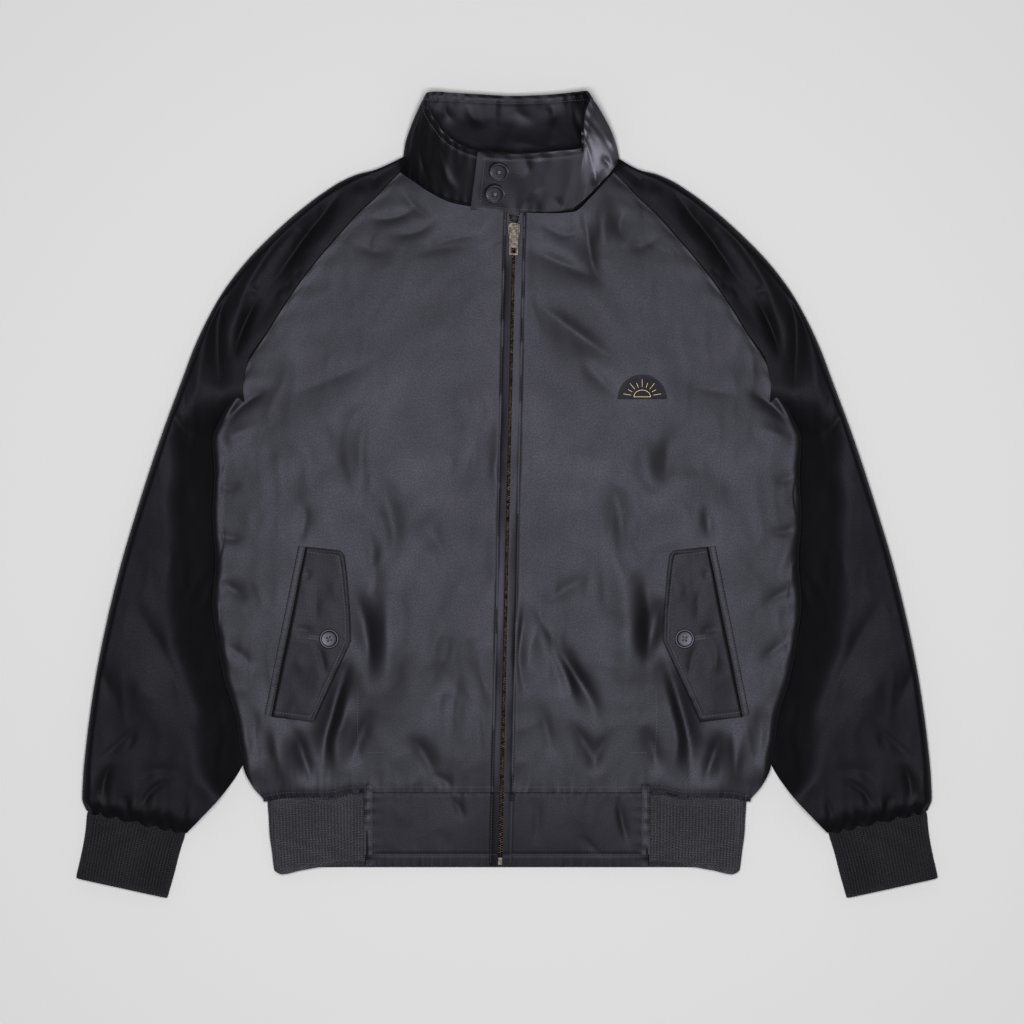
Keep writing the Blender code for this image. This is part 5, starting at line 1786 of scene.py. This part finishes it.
def new_material(name, gloss, **constants):
    """A material with values that are the same all over it set on its shader."""
    material = bpy.data.materials.new(name)
    material.use_nodes = True
    shader = material.node_tree.nodes["Principled BSDF"]
    constants["Specular IOR Level"] = gloss
    for key, value in constants.items():
        shader.inputs[key.replace("_", " ")].default_value = value
    return material, material.node_tree, shader


def finish(tree, shader, group, values):
    """Takes a material's colour and roughness from a group of nodes."""
    node = add_node(tree, "Group", values, node_tree=group)
    for key, target in (("Color", "Base Color"), ("Roughness", "Roughness")):
        if key in node.outputs:
            tree.links.new(node.outputs[key], shader.inputs[target])
    return node


def bump(tree, shader, height, distance):
    node = add_node(tree, "Bump", {"Height": height, "Distance": distance * MM})
    tree.links.new(node.outputs[0], shader.inputs["Normal"])


def make_materials():
    weave, tone = make_weave_group(), make_tone_group()
    knitted, tarnish = make_knit_group(), make_tarnish_group()
    made = {}

    def toned(slot, name, tones, smooth, rough, gloss, on_cut, **constants):
        """A material that varies as the tone group says, with where its patterns are read."""
        made[slot], tree, shader = new_material(name, gloss, **constants)
        if on_cut:
            place = add_node(tree, "UVMap", uv_map="cut").outputs[0]
        else:
            place = add_node(tree, "TexCoord").outputs["Object"]
        dark, light = ((*colour, 1) for colour in tones)
        values = {"Vector": place, "Dark": dark, "Light": light, "Smooth": smooth, "Rough": rough}
        finish(tree, shader, tone, values)
        return tree, shader, place

    sheen = {"Sheen_Weight": 0.08, "Sheen_Roughness": 0.5, "Sheen_Tint": SHEEN_TINT}
    for slot, name, tones, smooth, rough, gloss, height in CLOTHS:
        tree, shader, place = toned(
            slot, name, tones, smooth, rough, gloss, True, Specular_Tint=COOL_GLOSS, **sheen
        )
        bump(tree, shader, finish(tree, shader, weave, {"Vector": place}).outputs["Height"], height)
    for slot, name, tones in KNITS:
        tree, shader, place = toned(slot, name, tones, 0.48, 0.62, 0.62, True, Specular_Tint=KNIT_GLOSS)
        bump(tree, shader, finish(tree, shader, knitted, {"Vector": place}).outputs["Height"], KNIT_HEIGHT)
    toned("button", "button_resin", BUTTON_RESIN, 0.40, 0.48, 0.46, False, Specular_Tint=COOL_GLOSS)
    tree, shader, place = toned(
        "patch", "patch_leather", PATCH_LEATHER, 0.55, 0.65, 0.36, False, Specular_Tint=COOL_GLOSS
    )
    grain = add_node(tree, "TexVoronoi", {"Vector": place, "Scale": 1100.0})
    bump(tree, shader, grain.outputs["Distance"], GRAIN_HEIGHT)
    for slot, name, colour, rough, gloss in THREADS:
        made[slot], _, _ = new_material(name, gloss, Base_Color=colour, Roughness=rough)
    for slot, name, clean, dull, rough in METALS:
        made[slot], tree, shader = new_material(name, 0.5, Metallic=1.0)
        place = add_node(tree, "TexCoord").outputs["Object"]
        finish(tree, shader, tarnish, {"Vector": place, "Clean": clean, "Dull": dull, "Rough": rough})
    return made


# --- Floor, light and camera --------------------------------------------------------------------


FLOOR_SIZE = 14.0
FLOOR_TONE = (0.462, 0.462, 0.462, 1)
FLOOR_Z = -0.0004
# Each light is a square box: its size, place, power and what it looks at, in metres and watts.
COLLAR_MIDDLE = (0.0, 0.355, 0.04)
OVERHEAD_BOX = ("overhead_box", 0.95, (0.0, -0.05, 3.6), 205, (0, 0, 0))
COLLAR_BOXES = (
    # small boxes that only light the standing collar
    ("collar_side_box", 0.5, (2.32, -0.45, 0.56), 105, COLLAR_MIDDLE),
    ("collar_front_box", 0.5, (0.75, -1.65, 1.75), 34, COLLAR_MIDDLE),
)
ROOM_LIGHT = 0.2
CAMERA_PLACE = (0.005, -0.016, 4.0)
CAMERA_LENS = 140.2
GAMMA = 0.7


def make_floor():
    bpy.ops.object.select_all(action="DESELECT")
    bpy.ops.mesh.primitive_plane_add(size=FLOOR_SIZE, location=(0, 0, FLOOR_Z))
    floor = bpy.context.object
    floor.name = "floor"
    material, _, _ = new_material("pale_floor", 0.1, Base_Color=FLOOR_TONE, Roughness=0.9)
    floor.data.materials.append(material)


def make_light(name, size, place, power, look_at):
    light = bpy.data.lights.new(name, "AREA")
    light.shape = "SQUARE"
    light.size = size
    light.energy = power
    obj = bpy.data.objects.new(name, light)
    obj.location = place
    away = Vector(place) - Vector(look_at)
    obj.rotation_euler = away.to_track_quat("Z", "Y").to_euler()
    obj.visible_camera = False
    bpy.context.scene.collection.objects.link(obj)
    return obj


def make_studio(collar_pieces):
    make_light(*OVERHEAD_BOX)
    for name, *settings in COLLAR_BOXES:
        box = make_light(name, *settings)
        lit = bpy.data.collections.new(f"lit_by_{name}")
        for piece in collar_pieces:
            lit.objects.link(piece)
        box.light_linking.receiver_collection = lit
    world = bpy.data.worlds.new("room")
    world.use_nodes = True
    background = world.node_tree.nodes["Background"]
    background.inputs["Color"].default_value = (1, 1, 1, 1)
    background.inputs["Strength"].default_value = ROOM_LIGHT
    bpy.context.scene.world = world
    camera = bpy.data.cameras.new("camera")
    camera.sensor_width = 36
    camera.lens = CAMERA_LENS
    obj = bpy.data.objects.new("camera", camera)
    obj.location = CAMERA_PLACE
    bpy.context.scene.collection.objects.link(obj)
    bpy.context.scene.camera = obj
    bpy.context.scene.view_settings.view_transform = "Standard"
    bpy.context.scene.view_settings.gamma = GAMMA


# --- The whole jacket ---------------------------------------------------------------------------

COLLAR_BUTTONHOLES = ((1.0, 321.8), (-3.0, 299.2))
POCKET_BUTTONHOLE = ((187.5, -141.5), (197, -140))

look = make_materials()
make_back(look["shell"])
collar = make_collar(look["collar"])
collar_tree = tree_of(collar)
rib_tree = tree_of(make_hem_rib(look["hem_rib"]))

fronts, flaps, seam_places = {}, {}, []
for side, wearer in SIDES:
    make_sleeve_front(side, wearer, look["sleeve"])
    make_sleeve_back(side, wearer, look["sleeve"])
    make_cuff(side, wearer, look["rib"])
    front = tree_of(make_front(side, wearer, look["shell"]))
    band = tree_of(make_hem_band(side, wearer, look["trim"]))
    tab = tree_of(make_hem_tab(side, wearer, [front, band, rib_tree], look["shell"]))
    welt = tree_of(make_welt(side, wearer, front, look["shell"]))
    flap = tree_of(make_flap(side, wearer, front, look["trim"]))
    make_tape(side, wearer, look["tape"])
    for line in panel_stitch_lines(side):
        seam_places += stitch_places(line, [front, band, tab, welt])
    seam_places += stitch_places(flap_stitch_line(side), [flap])
    fronts[side], flaps[side] = front, flap

patch = tree_of(make_patch(fronts[1], look["patch"]))
edge_places, sun_places = patch_stitch_places(patch)
sew("patch_edge_stitches", edge_places, look["pale_thread"], 1.3, 0.30)
sew("patch_sun_stitches", sun_places, look["gold_thread"], 1.3, 0.30)

hole_places = []
for x, y in COLLAR_BUTTONHOLES:
    hole_places += buttonhole_places((x, y), (x + 10, y - 0.6), [collar_tree])
sew("collar_buttonholes", hole_places, look["pale_thread"], 1.9, 0.3)
hole_places = []
for side, _ in SIDES:
    start, end = ((side * x, y) for x, y in POCKET_BUTTONHOLE)
    hole_places += buttonhole_places(start, end, [flaps[side]])
sew("pocket_buttonholes", hole_places, look["thread"], 1.9, 0.3)
seam_places += collar_stitch_places()
sew("seam_stitches", seam_places, look["thread"], 2.3, 0.4)

make_teeth(look["brass"])
collar_buttons = make_buttons([collar_tree, flaps[-1], flaps[1]], look["button"], look["thread"])
for node in ("zip_slider", "zip_pull", "zip_box"):
    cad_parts[node].material_slots[0].material = look["pull"]

make_floor()
make_studio([collar] + collar_buttons)
